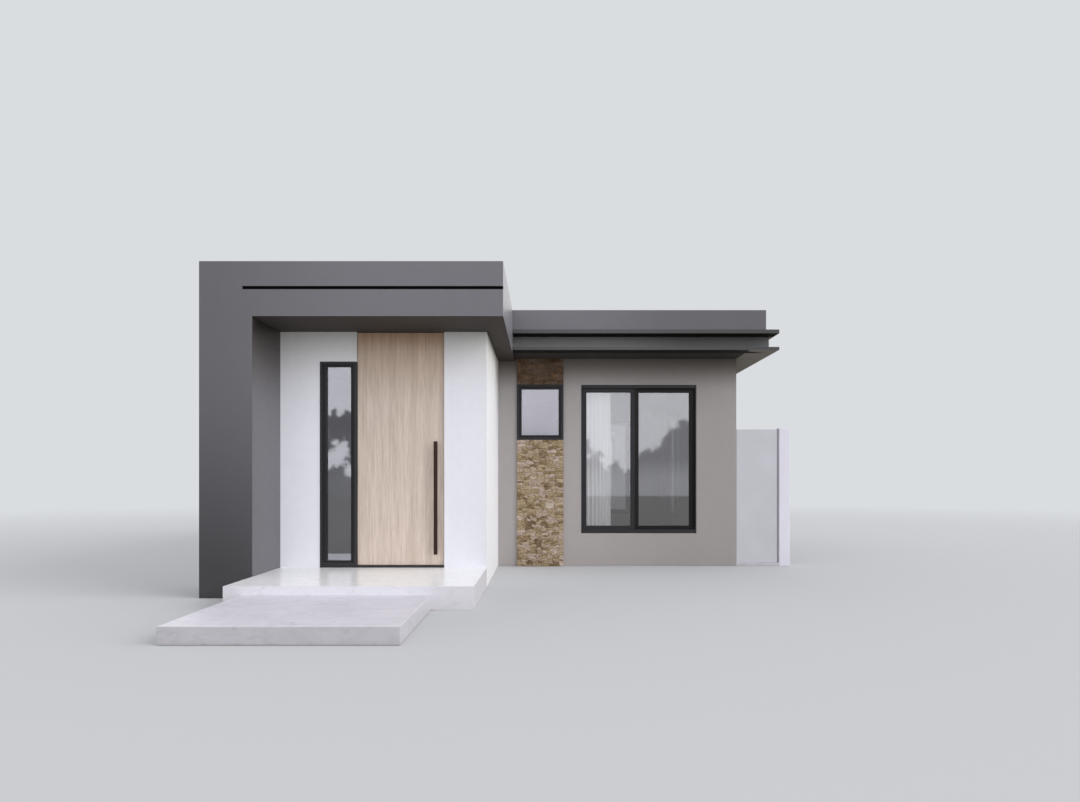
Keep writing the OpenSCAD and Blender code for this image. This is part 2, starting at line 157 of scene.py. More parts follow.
class Graph:
    """The node tree of a material or of the world."""

    def __init__(self, tree: bpy.types.NodeTree) -> None:
        """Empty the tree and keep it."""
        tree.nodes.clear()
        self.tree = tree

    def add(
        self,
        kind: str,
        settings: dict[str, Any] | None = None,
        values: dict[str | int, Any] | None = None,
        out: str | int = 0,
    ) -> Wire:
        """Add one node.

        Args:
            kind: Type of the node.
            settings: Properties of the node, set before its sockets. "stops" gives a ramp's
                places and colours.
            values: A wire, number, colour or vector for each input socket, by name or number.
            out: Name or number of the output socket.

        Returns:
            The node's output as a wire.
        """
        node = self.tree.nodes.new(kind)
        for name, setting in (settings or {}).items():
            if name == "stops":
                elements = node.color_ramp.elements
                while len(elements) < len(setting):
                    elements.new(1.0)
                for element, (place, colour) in zip(elements, setting):
                    element.position = place
                    element.color = (*colour, 1.0)
            else:
                setattr(node, name, setting)
        for name, value in (values or {}).items():
            socket = node.inputs[name]
            if isinstance(value, Wire):
                self.tree.links.new(value.socket, socket)
            elif socket.type == "RGBA" and len(value) == 3:
                socket.default_value = (*value, 1.0)
            else:
                socket.default_value = value
        return Wire(self, node.outputs[out]) if node.outputs else Wire(self, None)

    def math(self, operation: str, *operands: Wire | float) -> Wire:
        """Add a Math node over wires and numbers."""
        return self.add("ShaderNodeMath", {"operation": operation}, dict(enumerate(operands)))

    def vector_math(self, operation: str, *operands: Wire | Sequence[float]) -> Wire:
        """Add a Vector Math node over wires and vectors."""
        return self.add("ShaderNodeVectorMath", {"operation": operation}, dict(enumerate(operands)))

    def place(self) -> Wire:
        """Place of the shaded point in the object's own metres."""
        return self.add("ShaderNodeTexCoord", out="Object")

    def mark(self, name: str) -> Wire:
        """Value of a mesh attribute at the shaded point."""
        return self.add("ShaderNodeAttribute", {"attribute_name": name}, out="Fac")

    def ray(self, kind: str) -> Wire:
        """One for rays of a kind, by the name of the Light Path node's output."""
        return self.add("ShaderNodeLightPath", out=kind)

    def split(self, vector: Wire) -> tuple[Wire, Wire, Wire]:
        """X, Y and Z of a vector."""
        parts = self.add("ShaderNodeSeparateXYZ", None, {0: vector}).socket.node.outputs
        return Wire(self, parts[0]), Wire(self, parts[1]), Wire(self, parts[2])

    def join(self, x: Wire | float, y: Wire | float, z: Wire | float) -> Wire:
        """A vector from three values."""
        return self.add("ShaderNodeCombineXYZ", None, {0: x, 1: y, 2: z})

    def facing(self, axis: Axis) -> Wire:
        """How far the surface faces along an axis, from -1 to 1."""
        normal = self.add("ShaderNodeNewGeometry", out="Normal")
        return self.split(normal)[axis]

    def looks(self, axis: Axis) -> Wire:
        """One on faces that look along an axis, and nought elsewhere."""
        return self.facing(axis).above(FACING)

    def looks_down(self) -> Wire:
        """One on undersides, and nought elsewhere."""
        return self.facing(Axis.Z).below(-FACING)

    def mix(self, first: Wire | Colour, second: Wire | Colour, share: Wire | float) -> Wire:
        """A colour that goes from the first to the second as the share goes from 0 to 1."""
        settings = {"data_type": "RGBA", "clamp_factor": True}
        return self.add("ShaderNodeMix", settings, {0: share, 6: first, 7: second}, out=2)

    def shaded(self, colour: Wire | Colour, light: Wire) -> Wire:
        """The colour times a plain number, as light or dark patches."""
        return self.vector_math("MULTIPLY", colour, self.join(light, light, light))

    def noise(
        self,
        vector: Wire,
        scale: float,
        stretch: Sequence[float] = (1.0, 1.0, 1.0),
        detail: float = 3.0,
        distortion: float = 0.0,
        rough: float = 0.5,
    ) -> Wire:
        """Soft noise around one half.

        Args:
            vector: Where the noise is read.
            scale: Patches a metre.
            stretch: Share of the scale along each axis.
            detail: Number of finer layers.
            distortion: How far the patches are bent.
            rough: Share that each finer layer keeps of the one before.

        Returns:
            The noise as a wire from 0 to 1.
        """
        spread = self.vector_math("MULTIPLY", vector, tuple(stretch))
        values = {
            "Vector": spread,
            "Scale": scale,
            "Detail": detail,
            "Roughness": rough,
            "Distortion": distortion,
        }
        return self.add("ShaderNodeTexNoise", None, values)

    def tinted(self, colour: Wire | Colour, tint: Wire | Colour) -> Wire:
        """The colour times another colour."""
        return self.vector_math("MULTIPLY", colour, tint)

    def stained(self, place: Wire, share: float) -> Wire:
        """A factor that is one, and a share less in small bent stains."""
        field = self.noise(place, 7.0, stretch=(0.8, 1.0, 1.5), detail=7.0, distortion=1.1, rough=0.6)
        return 1.0 - field.smooth(0.56, 0.70) * share

    def towards_ends(self, place: Wire) -> Wire:
        """Ease from nought at the middle of the front to one at its left and right ends."""
        return abs(self.split(place)[Axis.X] - FRONT_MIDDLE).smooth(1.2, 3.6)

    def bump(self, height: Wire, distance: float, strength: float = 1.0) -> Wire:
        """A normal bent by a height from 0 to 1 that stands for the distance."""
        values = {"Strength": strength, "Distance": distance, "Height": height}
        return self.add("ShaderNodeBump", None, values)

    def finish(self, shader: Wire) -> None:
        """Give the shader to the tree's output."""
        kind = "World" if any(n.type == "BACKGROUND" for n in self.tree.nodes) else "Material"
        self.add(f"ShaderNodeOutput{kind}", None, {"Surface": shader})

    def surface(self, values: dict[str, Any]) -> None:
        """Give the tree one Principled shader with these sockets."""
        self.finish(self.add("ShaderNodeBsdfPrincipled", None, values))


@dataclass(frozen=True)
class Finish(ABC):
    """A surface finish with its own name, for one material slot of the record."""

    name: str
    slot: str

    @abstractmethod
    def paint(self, graph: Graph) -> None:
        """Build the finish in an empty graph.

        Args:
            graph: The empty node tree of the material.
        """

    def material(self) -> bpy.types.Material:
        """Return the material of this finish, painted on first use.

        Returns:
            The material, with the finish's name.
        """
        found = bpy.data.materials.get(self.name)
        if found is None:
            found = bpy.data.materials.new(self.name)
            found.use_nodes = True
            self.paint(Graph(found.node_tree))
        return found


@dataclass(frozen=True)
class PaintedRender(Finish):
    """Fine float render with a coat of paint, slightly patchy, and dusty at its foot.

    It carries painted shade on undersides, towards the ground, at the front's ends and under the eave,
    and painted light on faces that look right.

    Attributes:
        wall: Colour of faces that look to the sides or up.
        soffit: Colour of faces that look down, darker and warmer as painted shade.
        flank: Colour of faces that look right, lighter as painted light, or None where it is the
            wall's.
        satin: Roughness of the coat on walls.
        matt: How much rougher level faces are, where weather and dust lie.
        grain: Depth of the sand grain.
        dust: Share of dust at the wall's foot.
        foot_shade: Share of light that walls lose bit by bit down to the ground, as painted shade.
        flank_spared: Share of that painted shade that faces looking right are spared.
        ends: Share of light lost at the ends of the front, as painted shade. A share below nought
            makes
        them lighter, as painted light.
        dim: Share of light that walls lose right under the eave, as painted shade.
        dim_from: Height at which that painted shade starts.
        dim_to: Height of the eave, where it is strongest and stops.
        dim_side: Whether only faces that look right get it.
        dim_tint: What the painted shade multiplies the colour by, to warm it.
    """

    wall: Colour
    soffit: Colour
    flank: Colour | None = None
    satin: float = 0.45
    matt: float = 0.4
    grain: float = 0.0008
    dust: float = 0.10
    foot_shade: float = 0.0
    flank_spared: float = 0.5
    ends: float = 0.0
    dim: float = 0.0
    dim_from: float = 0.0
    dim_to: float = 0.0
    dim_side: bool = False
    dim_tint: Colour = (1.0, 0.965, 0.89)

    def paint(self, graph: Graph) -> None:
        """Wide patches, trowel marks, rain marks that run down, a soffit's colour and other painted
        shade and light, and fine grain.

        Args:
            graph: The empty node tree of the material.
        """
        place = graph.place()
        height = graph.split(place)[Axis.Z]
        under = graph.looks_down()
        patches = graph.noise(place, 0.7, detail=4.0).swing(0.05)
        trowel = graph.noise(place, 9.0, detail=5.0).swing(0.035)
        rain = graph.noise(place, 5.0, stretch=(1.0, 1.0, 0.06), detail=4.0).swing(0.03)
        right = graph.looks(Axis.X)
        # Faces that look right may take a lighter colour, a painted light.
        wall = graph.mix(self.wall, self.flank, right) if self.flank else self.wall
        # Faces that look down take the soffit colour, a painted shade.
        colour = graph.mix(wall, self.soffit, under)
        # Painted shade: walls grow darker towards the ground, less on faces that look right.
        painted_shade = 1.0 - height.smooth(3.0, -0.2) * (1.0 - right * self.flank_spared) * self.foot_shade
        # Painted shade at the front's ends, or painted light where that share is below nought.
        painted_shade = painted_shade * (1.0 - graph.towards_ends(place) * self.ends)
        # Painted shade under the soffit or eave: the wall grows darker and warmer towards it.
        if self.dim:
            dim = height.smooth(self.dim_from, self.dim_to) * height.below(self.dim_to)
            dim = dim * (right if self.dim_side else 1.0)
            painted_shade = painted_shade * (1.0 - dim * self.dim)
            colour = graph.mix(colour, graph.tinted(colour, self.dim_tint), dim)
        colour = graph.shaded(colour, patches * trowel * rain * painted_shade)
        foot = height.smooth(0.45, 0.0) * graph.noise(place, 6.0, detail=5.0)
        colour = graph.mix(colour, DUST, foot * self.dust)
        level = abs(graph.facing(Axis.Z)).above(FACING)
        sand = graph.noise(place, 260.0, detail=2.0)
        float_marks = graph.noise(place, 38.0, stretch=(1.0, 1.0, 1.6), detail=4.0)
        relief = sand * 0.55 + float_marks * 0.45
        graph.surface(
            {
                "Base Color": colour,
                "Roughness": graph.noise(place, 22.0) * 0.14 + level * self.matt + (self.satin - 0.07),
                "Normal": graph.bump(relief, self.grain),
            }
        )


@dataclass(frozen=True)
class EdgeCoat(Finish):
    """Satin coat on the roof's edge, with painted shade on its undersides, near black under the front
    lip, and painted light on its fascia and beside the wing.

    Attributes:
        edge: Colour of the plates' edges and of all other upright faces.
        fascia: Colour of the upright faces between the two plates, lighter than the edge as painted
            light.
        soffit: Colour of undersides, darker as painted shade.
        side_soffit: Colour of undersides beside the wing, paler as painted light.
        lip: Colour of undersides in front of lip_end, near black as painted shade.
        fascia_foot: Height at which the fascia starts.
        fascia_head: Height at which it stops.
        lip_end: Place along Y at which the lips end.
        side_start: Place along X at which the soffit beside the wing starts.
        slant_reach: How far right of side_start the lower lip's slanting end meets lip_end.
        slant: How far the slanting end runs to the right for each metre back.
        fascia_ends: Share of light that the fascia loses towards the front's ends.
        plate_ends: Share that all upright faces lose right at the ends.
        fascia_spared: Part of plate_ends that the fascia is spared.
    """

    edge: Colour
    fascia: Colour
    soffit: Colour
    side_soffit: Colour
    lip: Colour
    fascia_foot: float
    fascia_head: float
    lip_end: float
    side_start: float
    slant_reach: float = 0.37
    slant: float = 2.27
    fascia_ends: float = 0.38
    plate_ends: float = 0.25
    fascia_spared: float = 0.11

    def paint(self, graph: Graph) -> None:
        """One coat on faces, another on soffits as painted shade, paler beside the wing as painted
        light, and black under the lips as painted shade.

        Args:
            graph: The empty node tree of the material.
        """
        place = graph.place()
        x, y, z = graph.split(place)
        under = graph.looks_down()
        between = z.above(self.fascia_foot) * z.below(self.fascia_head)
        beside = x.above(self.side_start)
        # The lips' undersides are painted near black, a painted shade.
        slant = (x - (y - self.lip_end) * self.slant).below(self.side_start + self.slant_reach)
        lip = y.below(self.lip_end) * graph.math("MAXIMUM", slant, z.above(self.fascia_foot))
        # Undersides: darker as painted shade, paler beside the wing as painted light.
        soffit = graph.mix(graph.mix(self.soffit, self.side_soffit, beside), self.lip, lip)
        # The fascia is painted lighter than the edge, a painted light against the upper plate's shade.
        colour = graph.mix(graph.mix(self.edge, self.fascia, between), soffit, under)
        clouds = graph.noise(place, 1.4, detail=4.0).swing(0.06)
        runs = graph.noise(place, 7.0, stretch=(1.0, 1.0, 0.12), detail=4.0).swing(0.05)
        # Painted shade on upright faces and on the fascia towards the front's ends.
        ends = graph.towards_ends(place)
        upright_ends = (1.0 - under) * ends ** 3
        spared = between * self.fascia_spared
        end_shade = 1.0 - ends * between * self.fascia_ends - upright_ends * (self.plate_ends - spared)
        peel = graph.noise(place, 180.0, detail=2.0)
        graph.surface(
            {
                "Base Color": graph.shaded(colour, clouds * runs * end_shade),
                "Roughness": graph.noise(place, 16.0) * 0.16 + under * 0.45 + 0.38,
                "Specular IOR Level": 0.3,
                "Normal": graph.bump(peel, 0.0004),
            }
        )


@dataclass(frozen=True)
class PowderCoat(Finish):
    """Powder coat on metal, with fine peel and a little dust on what faces up.

    Attributes:
        colour: Colour of the coat.
        gloss: Roughness of the coat.
        shine: Specular level of the coat.
        peel: Depth of the orange peel.
        deep: Colour of set-back faces, or None where there are none.
        deep_from: Place along Y behind which faces take the deep colour, a painted shade. Without it,
            the
        attribute "deep" marks them.
        dusty: Share of dust on faces that look up.
        dust: Colour of that dust.
    """

    colour: Colour
    gloss: float = 0.38
    shine: float = 0.5
    peel: float = 0.00025
    deep: Colour | None = None
    deep_from: float | None = None
    dusty: float = 0.18
    dust: Colour = (0.34, 0.32, 0.29)

    def paint(self, graph: Graph) -> None:
        """Fine peel in the normal, soft clouds in the colour and pale dust on top faces.

        Args:
            graph: The empty node tree of the material.
        """
        place = graph.place()
        clouds = graph.noise(place, 2.5, detail=4.0).swing(0.08)
        dust = graph.facing(Axis.Z).smooth(0.5, 0.9) * graph.noise(place, 30.0, detail=5.0)
        base = self.colour
        if self.deep and self.deep_from is None:
            base = graph.mix(base, self.deep, graph.mark("deep"))
        elif self.deep:
            # Faces behind that place, the rear sash, take the darker colour as painted shade.
            base = graph.mix(base, self.deep, graph.split(place)[Axis.Y].above(self.deep_from))
        colour = graph.shaded(base, clouds)
        graph.surface(
            {
                "Base Color": graph.mix(colour, self.dust, dust * self.dusty),
                "Roughness": graph.noise(place, 45.0) * 0.12 + (self.gloss - 0.06),
                "Specular IOR Level": self.shine,
                "Normal": graph.bump(graph.noise(place, 420.0, detail=2.0), self.peel),
            }
        )


@dataclass(frozen=True)
class OakVeneer(Finish):
    """Pale oak veneer in upright strips, with streaks, pores, a thin matt oil and browner painted
    shade at the head.

    Attributes:
        pale: Colour of the early wood.
        deep: Colour of the late wood.
        head: Height of the door's head.
        strip: Width of a strip of veneer.
        head_shade_tint: What the painted shade at the head multiplies the colour by, browner.
        upper: Distances below the head over which the first part of it sets in.
        upper_share: That part of the painted shade.
        top: Distance below the head over which the rest sets in.
    """

    pale: Colour
    deep: Colour
    head: float
    strip: float = 0.103
    head_shade_tint: Colour = (0.76, 0.61, 0.46)
    upper: tuple[float, float] = (1.1, 0.3)
    upper_share: float = 0.42
    top: float = 0.35

    def paint(self, graph: Graph) -> None:
        """Each strip has its own tone and its own piece of one tall, narrow grain.

        Args:
            graph: The empty node tree of the material.
        """
        place = graph.place()
        x, y, z = graph.split(place)
        turn = x / self.strip + graph.noise(place, 1.0, stretch=(0.0, 0.0, 0.35), detail=1.0) * 0.05
        number = graph.math("FLOOR", turn)
        chance = graph.add(
            "ShaderNodeTexWhiteNoise", {"noise_dimensions": "1D"}, {"W": number}, out="Value"
        )
        own = graph.join(x, y + chance * 7.0, z + chance * 13.0)
        streaks = graph.noise(own, 1.0, stretch=(44.0, 16.0, 1.7), detail=5.0, distortion=0.5)
        fibre = graph.noise(own, 1.0, stretch=(130.0, 50.0, 5.5), detail=4.0, distortion=0.3)
        pores = graph.noise(own, 1.0, stretch=(420.0, 160.0, 9.0), detail=2.0).smooth(0.56, 0.74)
        wide = graph.noise(own, 1.0, stretch=(9.0, 3.0, 0.9), detail=3.0, distortion=0.9)
        depth = streaks * 0.85 + fibre * 0.60 + pores * 0.22 + chance * 0.14 + wide * 0.5 - 0.75
        seam = abs(graph.math("FRACT", turn) - 0.5).smooth(0.488, 0.5)
        relief = 1.0 - (pores * 0.5 + fibre * 0.3 + seam * 0.4)
        colour = graph.shaded(graph.mix(self.pale, self.deep, depth), 1.0 - seam * 0.12)
        # Painted shade, browner, towards the door's head.
        start, end = (self.head - distance for distance in self.upper)
        upper = z.smooth(start, end) * self.upper_share
        top = z.smooth(self.head - self.top, self.head) * (1.0 - self.upper_share)
        colour = graph.mix(colour, graph.tinted(colour, self.head_shade_tint), upper + top)
        graph.surface(
            {
                "Base Color": colour,
                "Roughness": fibre * 0.18 + 0.42,
                "Normal": graph.bump(relief, 0.0005),
            }
        )


@dataclass(frozen=True)
class PolishedTile(Finish):
    """Large polished tiles with soft clouds and thin joints, over a riser painted greyer as painted
    shade.
    """

    colour: Colour
    riser: Colour
    joint: Colour
    corner: tuple[float, float]
    tile: tuple[float, float] = (1.2, 0.6)
    joint_width: float = 0.002

    def joint_mask(self, graph: Graph, along: Wire, start: float, step: float) -> Wire:
        """One on the joints that repeat each step from the start, and nought between.

        Args:
            graph: The node tree of the material.
            along: Place along the axis that the joints cross.
            start: Place of the first joint.
            step: Distance from joint to joint.

        Returns:
            The mask as a wire.
        """
        turn = graph.math("FRACT", (along - start) / step + 100.0)
        share = self.joint_width / step
        return abs(turn - 0.5).above(0.5 - share * 0.5)

    def paint(self, graph: Graph) -> None:
        """Joints run both ways on faces that look up, and clouds drift under the polish.

        Args:
            graph: The empty node tree of the material.
        """
        place = graph.place()
        x, y, _ = graph.split(place)
        top = graph.looks(Axis.Z)
        across = self.joint_mask(graph, x, self.corner[0], self.tile[0])
        along = self.joint_mask(graph, y, self.corner[1], self.tile[1])
        joints = graph.math("MAXIMUM", across, along) * top
        clouds = graph.noise(place, 2.2, stretch=(1.0, 1.4, 1.0), detail=6.0, distortion=0.8)
        veins = graph.noise(place, 3.1, stretch=(1.0, 1.3, 1.0), detail=5.0, distortion=1.6)
        vein = 1.0 - abs(veins - 0.5).smooth(0.0, 0.03)
        tone = clouds.swing(0.035) * (1.0 - vein * 0.03) * graph.stained(place, 0.10)
        # Faces that don't look up take the greyer riser colour, a painted shade.
        body = graph.shaded(graph.mix(self.riser, self.colour, top), tone)
        graph.surface(
            {
                "Base Color": graph.mix(body, self.joint, joints),
                "Roughness": joints * 0.5 + graph.noise(place, 12.0, detail=4.0) * 0.12 + 0.18,
                "Normal": graph.bump(1.0 - joints, 0.001, 0.6),
            }
        )


@dataclass(frozen=True)
class HonedStone(Finish):
    """Fine-grained stone with faint clouds, its riser darker than its tread as painted shade, and
    dusty at its foot.
    """

    tread: Colour
    riser: Colour

    def paint(self, graph: Graph) -> None:
        """Wide and small clouds, thin bent streaks and a fine grain.

        Args:
            graph: The empty node tree of the material.
        """
        place = graph.place()
        height = graph.split(place)[Axis.Z]
        up = graph.facing(Axis.Z).smooth(0.2, 0.9)
        clouds = graph.noise(place, 1.6, stretch=(1.0, 1.0, 2.0), detail=7.0, distortion=0.9)
        blots = graph.noise(place, 9.0, stretch=(0.7, 1.0, 1.6), detail=6.0, distortion=0.7)
        blots = blots.swing(0.07)
        bent = graph.noise(place, 1.9, stretch=(1.0, 0.6, 1.6), detail=8.0, distortion=1.4)
        streak = 1.0 - abs(bent - 0.5).smooth(0.0, 0.09)
        speck = graph.noise(place, 340.0, detail=2.0)
        tone = clouds.swing(0.09) * blots * speck.swing(0.07) * (1.0 - streak * 0.05)
        tone = tone * graph.stained(place, 0.14)
        # The riser takes a darker colour than the tread, a painted shade.
        colour = graph.shaded(graph.mix(self.riser, self.tread, up), tone)
        foot = height.smooth(0.05, 0.0) * graph.noise(place, 9.0, detail=4.0)
        graph.surface(
            {
                "Base Color": graph.mix(colour, DUST, foot * 0.3),
                "Roughness": graph.noise(place, 18.0, detail=5.0) * 0.25 + 0.34,
                "Normal": graph.bump(speck * 0.5 + blots * 0.5, 0.0006),
            }
        )


@dataclass(frozen=True)
class Screed(Finish):
    """Smooth cement screed with trowel marks."""

    colour: Colour

    def paint(self, graph: Graph) -> None:
        """Wide clouds and bent trowel sweeps over a fine grain.

        Args:
            graph: The empty node tree of the material.
        """
        place = graph.place()
        clouds = graph.noise(place, 1.1, detail=5.0, distortion=0.5).swing(0.10)
        sweeps = graph.noise(place, 6.0, stretch=(1.0, 0.4, 1.0), detail=6.0, distortion=2.0)
        graph.surface(
            {
                "Base Color": graph.shaded(self.colour, clouds * sweeps.swing(0.05)),
                "Roughness": sweeps * 0.2 + 0.45,
                "Normal": graph.bump(graph.noise(place, 200.0), 0.0005),
            }
        )


@dataclass(frozen=True)
class SplitStone(Finish):
    """Split ledge stones in tan, ochre and rosy brown, darker in their joints, with painted shade
    under the eave.

    Attributes:
        stops: Places from 0 to 1 and colours of the ramp that gives a stone its tone.
        crevice: Colour of the joints and the bed.
        shade: Share of light that stones above shade_from lose.
        shade_from: Height above which the stones lie under the eave and carry painted shade, darker
            and
        browner.
        light: Share of the ramp's light that the stones keep elsewhere.
        rust_and_shade: Colour of the rusty patches and of the painted brown shade under the eave.
    """

    stops: tuple[tuple[float, Colour], ...]
    crevice: Colour
    shade: float
    shade_from: float
    light: float = 0.92
    rust_and_shade: Colour = (0.28, 0.145, 0.08)

    def paint(self, graph: Graph) -> None:
        """Each stone's tone comes from its attribute, with bands, rust and grain on top.

        Args:
            graph: The empty node tree of the material.
        """
        place = graph.place()
        height = graph.split(place)[Axis.Z]
        tone = graph.mark("tone")
        rise = graph.mark("rise")
        drift = (graph.noise(place, 3.0, detail=2.0) - 0.5) * 0.9
        mottle = graph.noise(place, 24.0, stretch=(0.7, 1.0, 1.5), detail=6.0, distortion=1.2)
        share = tone * 0.75 + 0.12 + drift + (mottle - 0.5) * 1.1
        colour = graph.add(
            "ShaderNodeValToRGB", {"stops": self.stops}, {"Fac": share}, out="Color"
        )
        bands = graph.noise(place, 34.0, stretch=(0.5, 0.5, 2.0), detail=6.0, distortion=1.2)
        grain = graph.noise(place, 170.0, detail=5.0)
        # Painted shade on the stones above the small window, under the eave: darker and browner.
        eave_shaded = height.above(self.shade_from)
        light = self.light - eave_shaded * self.shade
        colour = graph.shaded(colour, bands.swing(0.50) * grain.swing(0.24) * light)
        rust_and_shade = graph.noise(place, 12.0, detail=5.0).smooth(0.54, 0.70)
        colour = graph.mix(colour, self.rust_and_shade, rust_and_shade * (eave_shaded * 0.4 + 0.2) + eave_shaded * 0.18)
        colour = graph.mix(self.crevice, colour, rise.smooth(0.05, 0.35))
        broken = graph.noise(place, 55.0, stretch=(0.6, 1.0, 1.8), detail=6.0, distortion=0.5)
        relief = grain * 0.4 + broken * 0.6
        graph.surface(
            {
                "Base Color": colour,
                "Roughness": grain * 0.2 + 0.72,
                "Specular IOR Level": 0.3,
                "Normal": graph.bump(relief, 0.006),
            }
        )


@dataclass(frozen=True)
class CoatedPane(Finish):
    """A pane that mirrors part of the light and lets part through.

    Attributes:
        mirror: Colour of what the pane mirrors.
        hold: Share of the light that it mirrors, while the rest goes through.
        haze: Roughness of the mirror image.
        right_hold: That share right of right_of, or nought where the pane is of one kind.
        right_of: Place along X at which the right part starts.
        right_shade: Share of light that the right part's mirror loses, a painted shade on its
            reflection.
    """

    mirror: Colour
    hold: float
    haze: float
    right_hold: float = 0.0
    right_of: float = 0.0
    right_shade: float = 0.29

    def paint(self, graph: Graph) -> None:
        """A mirror coat that covers a share of each face, with faint dust on it.

        Args:
            graph: The empty node tree of the material.
        """
        place = graph.place()
        dust = graph.noise(place, 3.0, detail=6.0)
        light = dust.swing(0.04)
        hold = self.hold
        if self.right_hold:
            right = graph.split(place)[Axis.X].above(self.right_of)
            hold = right * (self.right_hold - self.hold) + self.hold
            # The right part's mirror is painted darker, a painted shade on its reflection.
            light = light * (1.0 - right * self.right_shade)
        graph.surface(
            {
                "Base Color": graph.shaded(self.mirror, light),
                "Metallic": 1.0,
                "Roughness": dust * 0.02 + self.haze,
                "Alpha": hold,
            }
        )


@dataclass(frozen=True)
class SheerCloth(Finish):
    """White sheer cloth with a fine plain weave and a faint glow as painted light.

    Attributes:
        colour: Colour of the yarn.
        thread: Distance from one thread to the next but one.
        glow: Strength of the cloth's faint glow, a painted light, though it is no lamp.
    """

    colour: Colour
    thread: float = 0.0009
    glow: float = 0.06

    def paint(self, graph: Graph) -> None:
        """Two crossed waves give the weave, along the cloth's own width and length.

        Args:
            graph: The empty node tree of the material.
        """
        flat = graph.add("ShaderNodeUVMap", {"uv_map": "cloth"})
        across, along, _ = graph.split(flat)
        turns = 2.0 * math.pi / self.thread
        weave = graph.math("SINE", across * turns) * graph.math("SINE", along * turns) * 0.5 + 0.5
        slub = graph.noise(flat, 40.0, stretch=(8.0, 0.4, 1.0), detail=3.0)
        graph.surface(
            {
                "Base Color": graph.shaded(self.colour, slub.swing(0.05)),
                "Roughness": slub * 0.1 + 0.8,
                "Sheen Weight": 0.3,
                # Painted light: the cloth glows faintly, though it is no lamp.
                "Emission Color": self.colour,
                "Emission Strength": self.glow,
                "Normal": graph.bump(weave, 0.0002, 0.5),
            }
        )


@dataclass(frozen=True)
class RoofSkin(Finish):
    """Mineral felt with pale grit and wide damp patches."""

    colour: Colour

    def paint(self, graph: Graph) -> None:
        """Grit in colour and relief, with wide damp patches.

        Args:
            graph: The empty node tree of the material.
        """
        place = graph.place()
        grit = graph.noise(place, 320.0, detail=2.0)
        dim = graph.noise(place, 0.8, detail=6.0, distortion=0.6).swing(0.14)
        graph.surface(
            {
                "Base Color": graph.shaded(self.colour, dim * grit.swing(0.25)),
                "Roughness": grit * 0.1 + 0.82,
                "Normal": graph.bump(grit, 0.0015),
            }
        )


def srgb(red: int, green: int, blue: int) -> Colour:
    """Turn a colour as seen on a screen, from 0 to 255, into the shader's linear one.

    Args:
        red: Red share.
        green: Green share.
        blue: Blue share.

    Returns:
        The linear red, green and blue shares, from 0 to 1.
    """
    shares = np.array([red, green, blue]) / 255.0
    linear = np.where(shares <= 0.04045, shares / 12.92, ((shares + 0.055) / 1.055) ** 2.4)
    return tuple(float(share) for share in linear)


